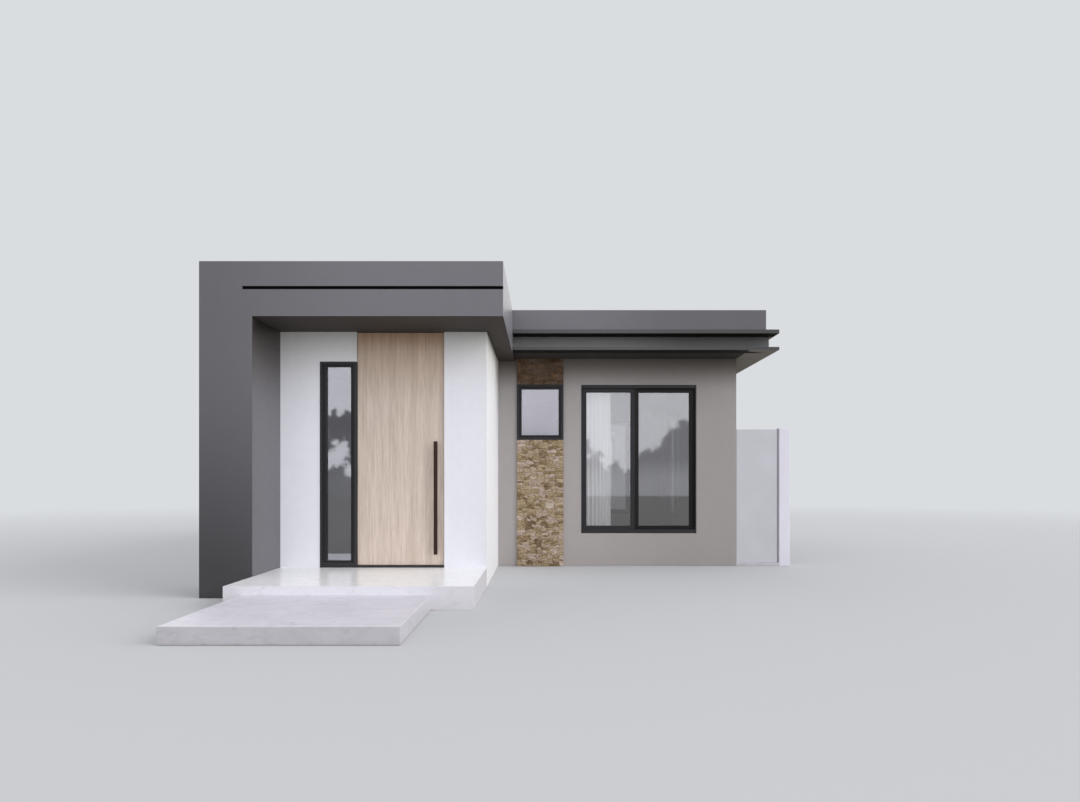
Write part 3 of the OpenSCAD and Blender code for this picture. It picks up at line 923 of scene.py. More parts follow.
class Palette:
    """Every finish of the house, by what it covers.

    Attributes:
        SOFFIT: Height of the portal's soffit.
        EAVE: Height of the wing's eave.
        LIP_DEPTH: How deep the black undersides of the roof edge reach from its front.
        STILE: Distance of the stile between the wide window's panes from the frame's left side.
        SEAM: How far heights and places that lie in a face are moved, so that they take it in.
    """

    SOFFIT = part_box("portal_pier")[1].z
    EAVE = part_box("wing_front_wall")[1].z
    LIP_DEPTH = 0.30
    STILE = 0.935
    SEAM = 0.001

    # In each render the second colour is painted shade on undersides; the shares paint shade and
    # light.
    grey = PaintedRender(
        "grey_paint",
        "grey_render",
        srgb(108, 107, 113),
        srgb(66, 60, 55),
        flank=srgb(113, 112, 117),
        satin=0.36,
        foot_shade=0.60,
        ends=0.30,
        dim=0.76,
        dim_from=SOFFIT - 1.15,
        dim_to=SOFFIT + SEAM,
        dim_side=True,
        dim_tint=(1.0, 0.86, 0.70),
    )
    white = PaintedRender(
        "white_paint",
        "white_render",
        srgb(238, 238, 245),
        srgb(206, 204, 204),
        flank=srgb(249, 249, 252),
        satin=0.42,
        foot_shade=0.08,
        ends=-0.16,
        dim=0.13,
        dim_from=SOFFIT - 0.8,
        dim_to=SOFFIT + SEAM,
        dim_tint=(1.0, 0.99, 0.91),
    )
    post = PaintedRender(
        "post_paint", "white_render", srgb(228, 226, 238), srgb(190, 188, 194), satin=0.42
    )
    taupe = PaintedRender(
        "taupe_paint",
        "taupe_render",
        srgb(171, 165, 164),
        srgb(120, 112, 108),
        satin=0.55,
        ends=0.15,
        dim=0.65,
        dim_from=EAVE - 0.60,
        dim_to=EAVE,
    )
    # The edge's soffit, side soffit and lip colours are painted shade and light; its fascia is painted
    # light.
    edge = EdgeCoat(
        "edge_coat",
        "fascia_metal",
        edge=srgb(83, 83, 84),
        fascia=srgb(143, 143, 142),
        soffit=srgb(60, 57, 54),
        side_soffit=srgb(146, 142, 135),
        lip=srgb(16, 15, 15),
        fascia_foot=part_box("lower_edge_plate")[1].z + SEAM,
        fascia_head=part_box("upper_edge_plate")[0].z - SEAM,
        lip_end=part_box("upper_edge_plate")[0].y + LIP_DEPTH,
        side_start=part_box("right_wall")[1].x,
    )
    frame = PowderCoat("frame_coat", "dark_frame", srgb(47, 45, 48), shine=0.25)
    rebated = PowderCoat(
        "rebate_coat", "dark_frame", srgb(50, 48, 52), shine=0.25, deep=srgb(32, 31, 33)
    )
    # The rear sash is painted darker, a painted shade.
    sashes = PowderCoat(
        "sash_coat",
        "dark_frame",
        srgb(45, 44, 48),
        shine=0.25,
        deep=srgb(20, 20, 21),
        deep_from=sum(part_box("wide_window_sashes")[k].y for k in (0, 1)) / 2,
    )
    # Near black lining of the portal's groove, a painted shade.
    gap = PowderCoat("groove_shadow_coat", "dark_frame", srgb(12, 12, 12), gloss=0.8, shine=0.1)
    pull = PowderCoat("pull_coat", "dark_pull", srgb(50, 30, 24), gloss=0.32, shine=0.25)
    rail = PowderCoat("rail_coat", "rail_metal", srgb(225, 225, 226), gloss=0.35)
    gate = PowderCoat("gate_coat", "gate_paint", srgb(200, 200, 207), gloss=0.45)
    hinge = PowderCoat("hinge_coat", "hinge_steel", srgb(66, 66, 68), gloss=0.40)
    oak = OakVeneer(
        "oak_veneer",
        "oak",
        srgb(224, 208, 195),
        srgb(159, 138, 121),
        head=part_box("door_leaf")[1].z,
    )
    tile = PolishedTile(
        "porch_tiles",
        "porch_tile",
        srgb(252, 252, 254),
        srgb(224, 222, 228),
        srgb(200, 198, 198),
        corner=(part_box("porch_floor")[0].x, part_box("porch_floor")[0].y),
    )
    step = HonedStone("honed_stone", "step_stone", srgb(213, 211, 220), srgb(196, 194, 201))
    screed = Screed("screed", "concrete_floor", srgb(196, 194, 190))
    ledge = SplitStone(
        "split_stone",
        "ledge_stone",
        (
            (0.0, srgb(112, 90, 68)),
            (0.25, srgb(154, 132, 102)),
            (0.45, srgb(184, 164, 132)),
            (0.62, srgb(186, 168, 144)),
            (0.80, srgb(188, 166, 156)),
            (1.0, srgb(212, 200, 182)),
        ),
        srgb(138, 117, 94),
        shade=0.69,
        shade_from=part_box("small_window_frame")[1].z,
    )
    clear = CoatedPane("clear_pane", "clear_glass", srgb(188, 189, 196), hold=0.50, haze=0.015)
    wide = CoatedPane(
        "wide_pane",
        "clear_glass",
        srgb(226, 227, 232),
        hold=0.26,
        haze=0.015,
        right_hold=0.44,
        right_of=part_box("wide_window_frame")[0].x + STILE,
    )
    tinted = CoatedPane("tinted_pane", "clear_glass", srgb(212, 215, 222), hold=0.62, haze=0.02)
    frosted = CoatedPane("frosted_pane", "frosted_glass", srgb(208, 207, 217), hold=0.40, haze=0.09)
    cloth = SheerCloth("sheer_cloth", "curtain_fabric", srgb(234, 234, 235))
    felt = RoofSkin("roof_felt", "grey_render", srgb(150, 150, 150))


def corners(node: str) -> tuple[np.ndarray, np.ndarray]:
    """Lowest and highest corner of a CAD node, as arrays."""
    low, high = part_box(node)
    return np.array(low), np.array(high)


def quads(rows: int, cols: int, wrap_rows: bool = False, wrap_cols: bool = False) -> np.ndarray:
    """Faces of a grid of points that are numbered row by row.

    Args:
        rows: Number of rows of points.
        cols: Number of points in a row.
        wrap_rows: Whether the last row joins the first.
        wrap_cols: Whether each row is a closed loop.

    Returns:
        Corner numbers, four to a face.
    """
    row = np.arange(rows if wrap_rows else rows - 1)[:, None]
    col = np.arange(cols if wrap_cols else cols - 1)[None, :]
    next_row = (row + 1) % rows
    next_col = (col + 1) % cols
    start, following = row * cols, next_row * cols
    loops = [start + col, start + next_col, following + next_col, following + col]
    return np.stack(np.broadcast_arrays(*loops), axis=-1).reshape(-1, 4)


def back(rows: int, cols: int) -> np.ndarray:
    """One face over the outermost points of a grid, turned away from the grid's own faces.

    Args:
        rows: Number of rows of points.
        cols: Number of points in a row.

    Returns:
        Corner numbers of the one face, as an array of shape (1, n).
    """
    number = np.arange(rows * cols).reshape(rows, cols)
    ring = [number[0], number[1:, -1], number[-1, -2::-1], number[-2:0:-1, 0]]
    return np.concatenate(ring)[None, ::-1]


def repeated(faces: np.ndarray, points_each: int, count: int) -> np.ndarray:
    """Faces of one grid, repeated for a number of grids that follow each other."""
    steps = np.arange(count)[:, None, None] * points_each
    return (faces[None] + steps).reshape(-1, faces.shape[1])


def placed(name: str, data: bpy.types.ID) -> bpy.types.Object:
    """Make an object of a mesh, a camera or a lamp, and put it into the scene.

    Args:
        name: Name of the object.
        data: What the object shows.

    Returns:
        The new object, at the origin.
    """
    made = bpy.data.objects.new(name, data)
    bpy.context.scene.collection.objects.link(made)
    return made


def mesh_object(name: str, points: np.ndarray, faces: Sequence[Sequence[int]]) -> bpy.types.Object:
    """Make an object at the origin from whole arrays.

    Args:
        name: Name of the piece.
        points: Corner places, in an array whose last axis is X, Y, Z.
        faces: Corner numbers of each face.

    Returns:
        The new object, with every corner and face as given.
    """
    mesh = bpy.data.meshes.new(name)
    mesh.from_pydata(points.reshape(-1, 3).tolist(), [], [list(face) for face in faces])
    mesh.update()
    return placed(name, mesh)


def marked(
    made: bpy.types.Object, name: str, values: np.ndarray | float, domain: str = "POINT"
) -> None:
    """Write one number for each corner or face of a piece into an attribute of its mesh.

    Args:
        made: The piece, before its doubles are merged.
        name: Name of the attribute.
        values: The numbers in the mesh's own order, or one number for all.
        domain: "POINT" for corners or "FACE" for faces.
    """
    layer = made.data.attributes.new(name, "FLOAT", domain)
    numbers = np.broadcast_to(values, len(layer.data)) if np.ndim(values) == 0 else values
    layer.data.foreach_set("value", np.ascontiguousarray(numbers, np.float32).ravel())


def rounded(made: bpy.types.Object, radius: float, least: float | None = None) -> None:
    """Round the sharp edges of a piece by a modifier.

    Args:
        made: The piece.
        radius: Radius of the rounded edges.
        least: Least angle in radians of an edge that is rounded, or None for Blender's own.
    """
    bevel = made.modifiers.new("edges", "BEVEL")
    bevel.width = radius
    bevel.segments = 2
    bevel.limit_method = "ANGLE"
    if least is not None:
        bevel.angle_limit = least


def clean(made: bpy.types.Object, merge: float = 1e-6) -> None:
    """Merge doubles of a closed mesh and turn its faces outwards.

    Args:
        made: The piece, changed in place.
        merge: Distance below which corners merge.
    """
    shape = bmesh.new()
    shape.from_mesh(made.data)
    bmesh.ops.remove_doubles(shape, verts=shape.verts, dist=merge)
    bmesh.ops.recalc_face_normals(shape, faces=shape.faces)
    shape.to_mesh(made.data)
    shape.free()


def dress(made: bpy.types.Object, finish: Finish, body: Body, *nodes: str) -> bpy.types.Object:
    """Give a piece its finish and body, and hide the CAD nodes that it stands for.

    Args:
        made: The piece.
        finish: Its finish, whose material it gets.
        body: The body that it rides on.
        nodes: CAD nodes that it stands for, if any.

    Returns:
        The same piece.
    """
    made.data.materials.clear()
    made.data.materials.append(finish.material())
    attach(made, body.value)
    if nodes:
        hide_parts(*nodes)
    return made


def repaint(finish: Finish, *nodes: str) -> None:
    """Give CAD nodes, whose meshes stay, a finish in their material slots.

    Args:
        finish: The finish.
        nodes: The CAD nodes.
    """
    for node in nodes:
        for place in frame["nodes"][node].material_slots:
            place.material = finish.material()
        log.info("%s keeps its mesh, in %s", node, finish.name)


def softened(
    name: str, node: str, finish: Finish, radius: float, body: Body = Body.HOUSE
) -> bpy.types.Object:
    """Stand a copy of a CAD node, with its sharp edges rounded, in the node's place.

    Args:
        name: Name of the piece.
        node: The CAD node that is copied and replaced.
        finish: The finish of the piece.
        radius: Radius of the rounded edges.
        body: The body that the piece rides on.

    Returns:
        The new piece.
    """
    sharp_angle = math.radians(30)
    mesh = frame["nodes"][node].data.copy()
    shape = bmesh.new()
    shape.from_mesh(mesh)
    bmesh.ops.remove_doubles(shape, verts=shape.verts, dist=1e-5)
    bmesh.ops.dissolve_limit(
        shape, angle_limit=math.radians(1), verts=shape.verts, edges=shape.edges
    )
    for face in shape.faces:
        face.smooth = True
    shape.to_mesh(mesh)
    shape.free()
    mesh.set_sharp_from_angle(angle=sharp_angle)
    made = placed(name, mesh)
    rounded(made, radius, sharp_angle)
    made.modifiers.new("shading", "WEIGHTED_NORMAL")
    return dress(made, finish, body, node)


def solid_boxes(node: str) -> list[tuple[np.ndarray, np.ndarray]]:
    """Lowest and highest corner of each separate solid in a CAD node.

    Corners at one place count as one point. Each point starts with its own label, and each face
    gives its points the lowest label among them until nothing changes.

    Args:
        node: Name of the CAD node.

    Returns:
        A pair of corners for each solid.
    """
    mesh = frame["nodes"][node].data
    places = np.empty(len(mesh.vertices) * 3, np.float32)
    mesh.vertices.foreach_get("co", places)
    mesh.calc_loop_triangles()
    corner = np.empty(len(mesh.loop_triangles) * 3, np.int32)
    mesh.loop_triangles.foreach_get("vertices", corner)
    points, which = np.unique(places.reshape(-1, 3).round(4), axis=0, return_inverse=True)
    faces = which.ravel()[corner].reshape(-1, 3)
    label = np.arange(len(points))
    while True:
        lower = label.copy()
        np.minimum.at(lower, faces.ravel(), np.repeat(label[faces].min(axis=1), 3))
        if np.array_equal(lower, label):
            break
        label = lower
    solids = [points[label == number] for number in np.unique(label)]
    return [(solid.min(axis=0), solid.max(axis=0)) for solid in solids]


def mitred(path: np.ndarray, section: np.ndarray) -> np.ndarray:
    """Carry a section round a closed path of straight runs.

    At each corner the section stands on the corner's bisector, moved out by its own offset over
    the cosine of half the turn, so that each run keeps the section's width.

    Args:
        path: Corners of the path, anticlockwise, shape (m, 2).
        section: Inward offset and height of each point of the section, shape (n, 2).

    Returns:
        Points of shape (m, n, 3), with the height as the third value.
    """
    ahead = np.roll(path, -1, axis=0) - path
    ahead = ahead / np.linalg.norm(ahead, axis=1, keepdims=True)
    inward = np.stack([-ahead[:, 1], ahead[:, 0]], axis=1)
    before = np.roll(inward, 1, axis=0)
    bisector = (inward + before) / (1.0 + np.sum(inward * before, axis=1, keepdims=True))
    flat = path[:, None, :] + bisector[:, None, :] * section[None, :, :1]
    height = np.broadcast_to(section[None, :, 1:], flat.shape[:2] + (1,))
    return np.concatenate([flat, height], axis=2)


def prism(name: str, section: np.ndarray, start: float, end: float) -> bpy.types.Object:
    """Carry a closed section in Y and Z straight along X, and close both its ends.

    Args:
        name: Name of the piece.
        section: Y and Z of the section's corners, shape (n, 2).
        start: Place along X of its left end.
        end: Place along X of its right end.

    Returns:
        The new piece, closed.
    """
    count = len(section)
    points = np.empty((2, count, 3))
    points[:, :, 0] = np.array([start, end])[:, None]
    points[:, :, 1:] = section[None]
    faces = quads(2, count, wrap_cols=True).tolist()
    faces += [list(range(count)), list(range(2 * count - 1, count - 1, -1))]
    made = mesh_object(name, points, faces)
    clean(made)
    return made


@dataclass
class SubAssembly(ABC):
    """Part of the house that is built and finished as one."""

    @abstractmethod
    def build(self) -> list[bpy.types.Object]:
        """Finish the CAD nodes that stay and return the new pieces.

        Returns:
            The new pieces.
        """


@dataclass
class Portal(SubAssembly):
    """The portal over the entry, its roof slab and the black groove in its beam, lined in near black
    as painted shade.
    """

    groove_start: float = 0.55
    groove_rise: float = 0.343
    groove_height: float = 0.042
    groove_depth: float = 0.035
    channel_wall: float = 0.003
    channel_inset: float = 0.002
    clearance: float = 0.0005

    def groove_channel(self) -> bpy.types.Object:
        """A U section that lines the groove, open to the front, in near black as painted shade.

        Returns:
            The lining as one piece.
        """
        low, high = corners("portal_beam")
        bottom = low[2] + self.groove_rise + self.clearance
        top = bottom + self.groove_height - 2 * self.clearance
        front = low[1] + self.channel_inset
        back = low[1] + self.groove_depth - self.clearance
        wall = self.channel_wall
        section = np.array(
            [
                [front, bottom],
                [back, bottom],
                [back, top],
                [front, top],
                [front, top - wall],
                [back - wall, top - wall],
                [back - wall, bottom + wall],
                [front, bottom + wall],
            ]
        )
        left = low[0] + self.groove_start + self.clearance
        made = prism("groove_channel", section, left, high[0] - self.clearance)
        return dress(made, Palette.gap, Body.HOUSE)

    def build(self) -> list[bpy.types.Object]:
        """Finish the portal and line its groove.

        Returns:
            The new pieces.
        """
        repaint(
            Palette.grey,
            "portal_pier",
            "portal_beam",
            "portal_side_beam",
            "entry_roof_slab",
            "left_roof_band",
            "rear_roof_band",
        )
        return [self.groove_channel()]


@dataclass
class WingRoof(SubAssembly):
    """The wing's layered roof edge, its parapets and the felt over both roof decks."""

    felt: float = 0.004
    sheet: float = 0.0036
    seam: float = 0.0005
    lap_step: float = 1.0
    lap_width: float = 0.09
    lap_rise: float = 0.004
    lap_slopes: tuple[float, float] = (0.004, 0.002)
    upstand: float = 0.15
    fillet: float = 0.05
    foot_width: float = 0.04
    foot_layers: int = 3
    gap: float = 0.001

    def deck_outline(self) -> np.ndarray:
        """Plan corners of the decks between the parapets, anticlockwise.

        Returns:
            X and Y of the eight corners, shape (8, 2).
        """
        portal_low, portal_high = corners("entry_roof_slab")
        side = corners("portal_side_beam")[0]
        front_low, front_high = corners("front_parapet")
        right_low, right_high = corners("right_parapet")
        wall = front_high[1] - front_low[1]
        rear = right_high[1] - wall
        turn = portal_high[0] + wall
        return np.array(
            [
                [portal_low[0], portal_low[1]],
                [side[0], side[1]],
                [side[0], front_high[1]],
                [right_low[0], front_high[1]],
                [right_low[0], rear],
                [turn, rear],
                [turn, portal_high[1]],
                [portal_low[0], portal_high[1]],
            ]
        )

    def roof_felt(self) -> bpy.types.Object:
        """Felt in strips along Y, each lapped over the next.

        The deck is cut into plain rectangles, and in each one the felt's height is its thickness
        plus a low rise over each lap, as a function of X. Each rectangle keeps a seam's distance
        from its neighbours.

        Returns:
            The felt as one piece.
        """
        outline = self.deck_outline()
        deck = corners("upper_edge_plate")[1][2]
        xs, ys = outline[:, 0], outline[:, 1]
        fields = np.array(
            [
                (xs[0], xs[1], ys[0], ys[7]),
                (xs[1], xs[3], ys[2], ys[7]),
                (xs[5], xs[3], ys[7], ys[4]),
            ]
        )
        fields += np.array([1, -1, 1, -1]) * self.seam
        up, down = self.lap_slopes
        lap = np.array([0.0, up, self.lap_width, self.lap_width + down])
        points, faces, count = [], [], 0
        for left, right, front, rear in fields:
            laps = np.arange(math.ceil(left / self.lap_step), math.ceil(right / self.lap_step))
            edges = (laps[:, None] * self.lap_step + lap).ravel()
            rise = np.tile([0.0, self.lap_rise, self.lap_rise, 0.0], len(laps))
            inside = (edges > left) & (edges < right)
            x = np.concatenate([[left], edges[inside], [right]])
            z = deck + self.felt + np.concatenate([[0.0], rise[inside], [0.0]])
            grid = np.empty((2, len(x), 3))
            grid[:, :, 0] = x
            grid[:, :, 1] = np.array([front, rear])[:, None]
            grid[:, :, 2] = z
            points.append(grid.reshape(-1, 3))
            faces.append(quads(2, len(x)) + count)
            count += 2 * len(x)
        made = mesh_object("roof_felt", np.concatenate(points), np.concatenate(faces))
        thickness = made.modifiers.new("thickness", "SOLIDIFY")
        thickness.thickness = self.sheet
        return dress(made, Palette.felt, Body.HOUSE)

    def roof_upstand(self) -> bpy.types.Object:
        """Felt turned up the parapets over a sloped fillet, round the whole deck.

        Returns:
            The turned-up edge as one piece.
        """
        foot = self.fillet + self.foot_width
        top = self.felt * self.foot_layers
        face = self.gap + self.felt
        section = np.array(
            [
                [self.gap, self.felt],
                [foot, self.felt],
                [foot, top],
                [self.fillet, top],
                [face, self.fillet],
                [face, self.upstand],
                [self.gap, self.upstand],
            ]
        )
        ring = mitred(self.deck_outline(), section)
        ring[:, :, 2] += corners("upper_edge_plate")[1][2]
        rows, cols = ring.shape[:2]
        made = mesh_object("roof_upstand", ring, quads(rows, cols, wrap_rows=True, wrap_cols=True))
        clean(made)
        return dress(made, Palette.felt, Body.HOUSE)

    def build(self) -> list[bpy.types.Object]:
        """Finish the roof edge and lay the felt.

        Returns:
            The new pieces.
        """
        repaint(Palette.grey, "front_parapet", "right_parapet", "rear_parapet")
        repaint(Palette.edge, "wing_roof_slab", "lower_edge_plate", "upper_edge_plate")
        return [self.roof_felt(), self.roof_upstand()]


@dataclass
class Walls(SubAssembly):
    """Outer walls and the inner floors."""

    def build(self) -> list[bpy.types.Object]:
        """Paint the walls and finish the floors.

        Returns:
            No new pieces.
        """
        entry = ("entry_wall_left", "entry_wall_head", "entry_wall_right")
        repaint(Palette.white, *entry, "return_wall", "left_wall")
        repaint(Palette.taupe, "wing_front_wall", "right_wall", "rear_wall")
        repaint(Palette.screed, "main_floor", "hall_floor")
        return []


@dataclass
class StoneStrip(SubAssembly):
    """The strip of split ledge stones, above and below the small window.

    Attributes:
        longest: Width above which a cell is cut upright.
        tallest: Height above which it is cut level.
        least: Half the height from which a small cell may still be cut level.
        cut: Least and greatest share of its side at which a cell is cut.
        squat: Height over width above which a tall cell is cut level first.
        drawn: Width over height above which a cell is mostly cut upright.
        drawn_chance: Chance of that cut.
        spare_chance: Chance that a small cell is still cut level.
        joint: Width of the joints.
        bed: Thickness of the bed.
        bed_swing: Depth of the low waves in the bed.
        bed_rise: What the bed's attribute "rise" says, where a stone's says how far it stands out.
        bed_grid: Rows and columns of points on each stretch of the bed.
        stand: Least and greatest share of the room over the bed that a stone takes up.
        least_stand: Least height of a stone's points over the bed.
        front_gap: What stays free between the stones and the front of the facing.
        pull: Greatest share of half its side by which a corner is pulled in.
        corners_fall: Powers that keep a face flat until near its upright and its level edges.
        tilt: Spread of the slopes of the faces.
        relief: Depth of the waves that break the faces.
        waves: Number of those waves.
        wave_number: Radians a metre of the first wave, for a direction of length one.
        sway: How far the joints wander.
        sway_edge: Distance from the stretch's edge over which they come to rest.
        across: Columns of points on a stone's face.
        up: Rows of points on a stone's face.
        seed: Start of the random numbers.
    """

    longest: float = 0.17
    tallest: float = 0.078
    least: float = 0.024
    cut: tuple[float, float] = (0.34, 0.66)
    squat: float = 0.8
    drawn: float = 3.6
    drawn_chance: float = 0.8
    spare_chance: float = 0.25
    joint: float = 0.001
    bed: float = 0.021
    bed_swing: float = 0.002
    bed_rise: float = 0.12
    bed_grid: tuple[int, int] = (60, 24)
    stand: tuple[float, float] = (0.45, 0.95)
    least_stand: float = 0.006
    front_gap: float = 0.001
    pull: float = 0.10
    corners_fall: tuple[int, int] = (7, 5)
    tilt: float = 0.12
    relief: float = 0.0032
    waves: int = 5
    wave_number: float = 45.0
    sway: float = 0.011
    sway_edge: float = 0.06
    across: int = 12
    up: int = 8
    seed: int = 11

    def fields(self) -> np.ndarray:
        """Left, right, foot and head of the two stretches of stone.

        Returns:
            One row for each stretch, shape (2, 4).
        """
        low, high = corners("stone_facing")
        window_low, window_high = corners("small_window_frame")
        return np.array(
            [
                [low[0], high[0], low[2], window_low[2]],
                [low[0], high[0], window_high[2], high[2]],
            ]
        )

    def cells(self, chance: np.random.Generator) -> np.ndarray:
        """Cut each stretch at random into cells that are stones with their joints.

        A cell that is too long for its height is cut upright, one that is too tall is cut level,
        and the pieces are cut again until all are small enough.

        Args:
            chance: Source of the cuts.

        Returns:
            Left, right, foot and head of each cell, and the foot and head of its stretch.
        """
        waiting = [[*field, *field[2:]] for field in self.fields()]
        done = []
        while waiting:
            left, right, foot, head, *reach = waiting.pop()
            width, height = right - left, head - foot
            share = chance.uniform(*self.cut)
            tall = height > self.tallest
            if tall and (height > width * self.squat or width < self.longest):
                cut = foot + height * share
                waiting += [[left, right, foot, cut, *reach], [left, right, cut, head, *reach]]
            elif width > self.longest or (
                width > height * self.drawn and chance.random() < self.drawn_chance
            ):
                cut = left + width * share
                waiting += [[left, cut, foot, head, *reach], [cut, right, foot, head, *reach]]
            elif tall or (height > 2 * self.least and chance.random() < self.spare_chance):
                cut = foot + height * share
                waiting += [[left, right, foot, cut, *reach], [left, right, cut, head, *reach]]
            else:
                done.append([left, right, foot, head, *reach])
        return np.array(done)

    def bent(self, x: np.ndarray, z: np.ndarray, reach: np.ndarray) -> tuple[np.ndarray, np.ndarray]:
        """Sway places so that joints wander, less and less towards the edges of the stretch.

        Args:
            x: Places along X.
            z: Places along Z.
            reach: Foot and head of the stretch of each place.

        Returns:
            The swayed places along X and Z. Each moves by two sines of the other.
        """
        low, high = corners("stone_facing")
        beside = np.clip(np.minimum(x - low[0], high[0] - x) / self.sway_edge, 0, 1)
        above = np.clip(np.minimum(z - reach[0], reach[1] - z) / self.sway_edge, 0, 1)
        free = self.sway * beside * above
        swayed_x = x + free * (np.sin(33 * z + 9 * x) + 0.7 * np.sin(71 * z - 23 * x + 1.3))
        swayed_z = z + free * (np.sin(19 * x + 7 * z) + 0.8 * np.sin(47 * x - 13 * z + 0.6)) * 0.9
        return swayed_x, swayed_z

    def stones(self) -> bpy.types.Object:
        """Split stones as one mesh of small grids.

        Across and up each cell, u and v run from -1 to 1, and each corner is pulled in by its own
        amount. The face stands out by the stone's own depth, falls away near its edges, slopes by
        a random tilt and is broken by five waves with random directions. The outermost ring of
        each grid lies on the bed, and one face closes it at the back.

        Returns:
            The stones as one piece.
        """
        chance = np.random.default_rng(self.seed)
        cells = self.cells(chance)
        count = len(cells)
        low, high = corners("stone_facing")
        thickness = high[1] - low[1]
        u = np.concatenate([[-1.0], np.linspace(-1, 1, self.across), [1.0]])[None, None, :]
        v = np.concatenate([[-1.0], np.linspace(-1, 1, self.up), [1.0]])[None, :, None]
        middle_x = cells[:, :2].mean(axis=1)[:, None, None]
        middle_z = cells[:, 2:4].mean(axis=1)[:, None, None]
        half_x = (np.diff(cells[:, :2]) - self.joint)[:, :, None] / 2
        half_z = (np.diff(cells[:, 2:4]) - self.joint)[:, :, None] / 2
        pull = chance.uniform(0.0, self.pull, (8, count, 1, 1))
        right, left, head, foot = (1 + u) / 2, (1 - u) / 2, (1 + v) / 2, (1 - v) / 2
        pull_right = head * pull[0] + foot * pull[1]
        pull_left = head * pull[2] + foot * pull[3]
        pull_head = right * pull[4] + left * pull[5]
        pull_foot = right * pull[6] + left * pull[7]
        x = middle_x + half_x * (u - right * pull_right + left * pull_left)
        z = middle_z + half_z * (v - head * pull_head + foot * pull_foot)
        x, z = self.bent(x, z, cells[:, 4:].T[:, :, None, None])
        depth = chance.uniform(*self.stand, (count, 1, 1)) * (thickness - self.bed)
        beside, above = self.corners_fall
        fall = (1 - np.abs(u) ** beside) * (1 - np.abs(v) ** above)
        tilt = chance.normal(0, self.tilt, (count, 2))[:, :, None, None]
        face = depth * (0.62 + 0.38 * fall ** 0.6 + tilt[:, 0] * u * 0.6 + tilt[:, 1] * v)
        ways = chance.normal(0, 1, (self.waves, count, 2))[:, :, :, None, None]
        turns = chance.uniform(0, 2 * np.pi, (self.waves, count, 1, 1))
        for step, (way, turn) in enumerate(zip(ways, turns), start=1):
            run = self.wave_number * step * (way[:, 0] * (x - middle_x) + way[:, 1] * (z - middle_z))
            face = face + self.relief / step ** 0.6 * np.sin(run + turn)
        edge = (np.arange(self.across + 2) % (self.across + 1) == 0)[None, None, :]
        edge = edge | (np.arange(self.up + 2) % (self.up + 1) == 0)[None, :, None]
        stand = np.clip(face, self.least_stand, thickness - self.bed - self.front_gap)
        stand = np.where(edge, 0.0, stand)
        points = np.empty(stand.shape + (3,))
        points[..., 0] = np.clip(x, low[0], high[0])
        points[..., 1] = high[1] - self.bed - stand
        points[..., 2] = z
        rows, cols = points.shape[1:3]
        faces = repeated(quads(rows, cols), rows * cols, count)
        backs = repeated(back(rows, cols), rows * cols, count)
        made = mesh_object("ledge_stones", points, [*faces, *backs])
        marked(made, "tone", np.broadcast_to(chance.random((count, 1, 1)), stand.shape))
        marked(made, "rise", stand / (thickness - self.bed))
        clean(made)
        return dress(made, Palette.ledge, Body.HOUSE, "stone_facing")

    def mortar(self) -> bpy.types.Object:
        """The bed behind the stones: a slab on each stretch with an uneven front.

        The front stands out by the bed's thickness less a low wave in X and Z.

        Returns:
            The bed as one piece.
        """
        high = corners("stone_facing")[1]
        rows, cols = self.bed_grid
        grids = []
        for left, right, foot, head in self.fields():
            x = np.linspace(left, right, cols)[None, :]
            z = np.linspace(foot, head, rows)[:, None]
            wave = 0.5 + 0.25 * (np.sin(61 * x + 17 * z) + np.sin(43 * z - 29 * x))
            grid = np.empty((rows + 2, cols + 2, 3))
            grid[..., 0] = np.pad(np.broadcast_to(x, (rows, cols)), 1, "edge")
            grid[..., 2] = np.pad(np.broadcast_to(z, (rows, cols)), 1, "edge")
            grid[..., 1] = high[1] - np.pad(self.bed - self.bed_swing * wave, 1)
            grids.append(grid)
        points = np.stack(grids)
        rows, cols = points.shape[1:3]
        faces = repeated(quads(rows, cols), rows * cols, len(grids))
        backs = repeated(back(rows, cols), rows * cols, len(grids))
        made = mesh_object("stone_bed", points, [*faces, *backs])
        marked(made, "rise", self.bed_rise)
        clean(made)
        return dress(made, Palette.ledge, Body.HOUSE)

    def build(self) -> list[bpy.types.Object]:
        """Lay the stones on their bed."""
        return [self.stones(), self.mortar()]


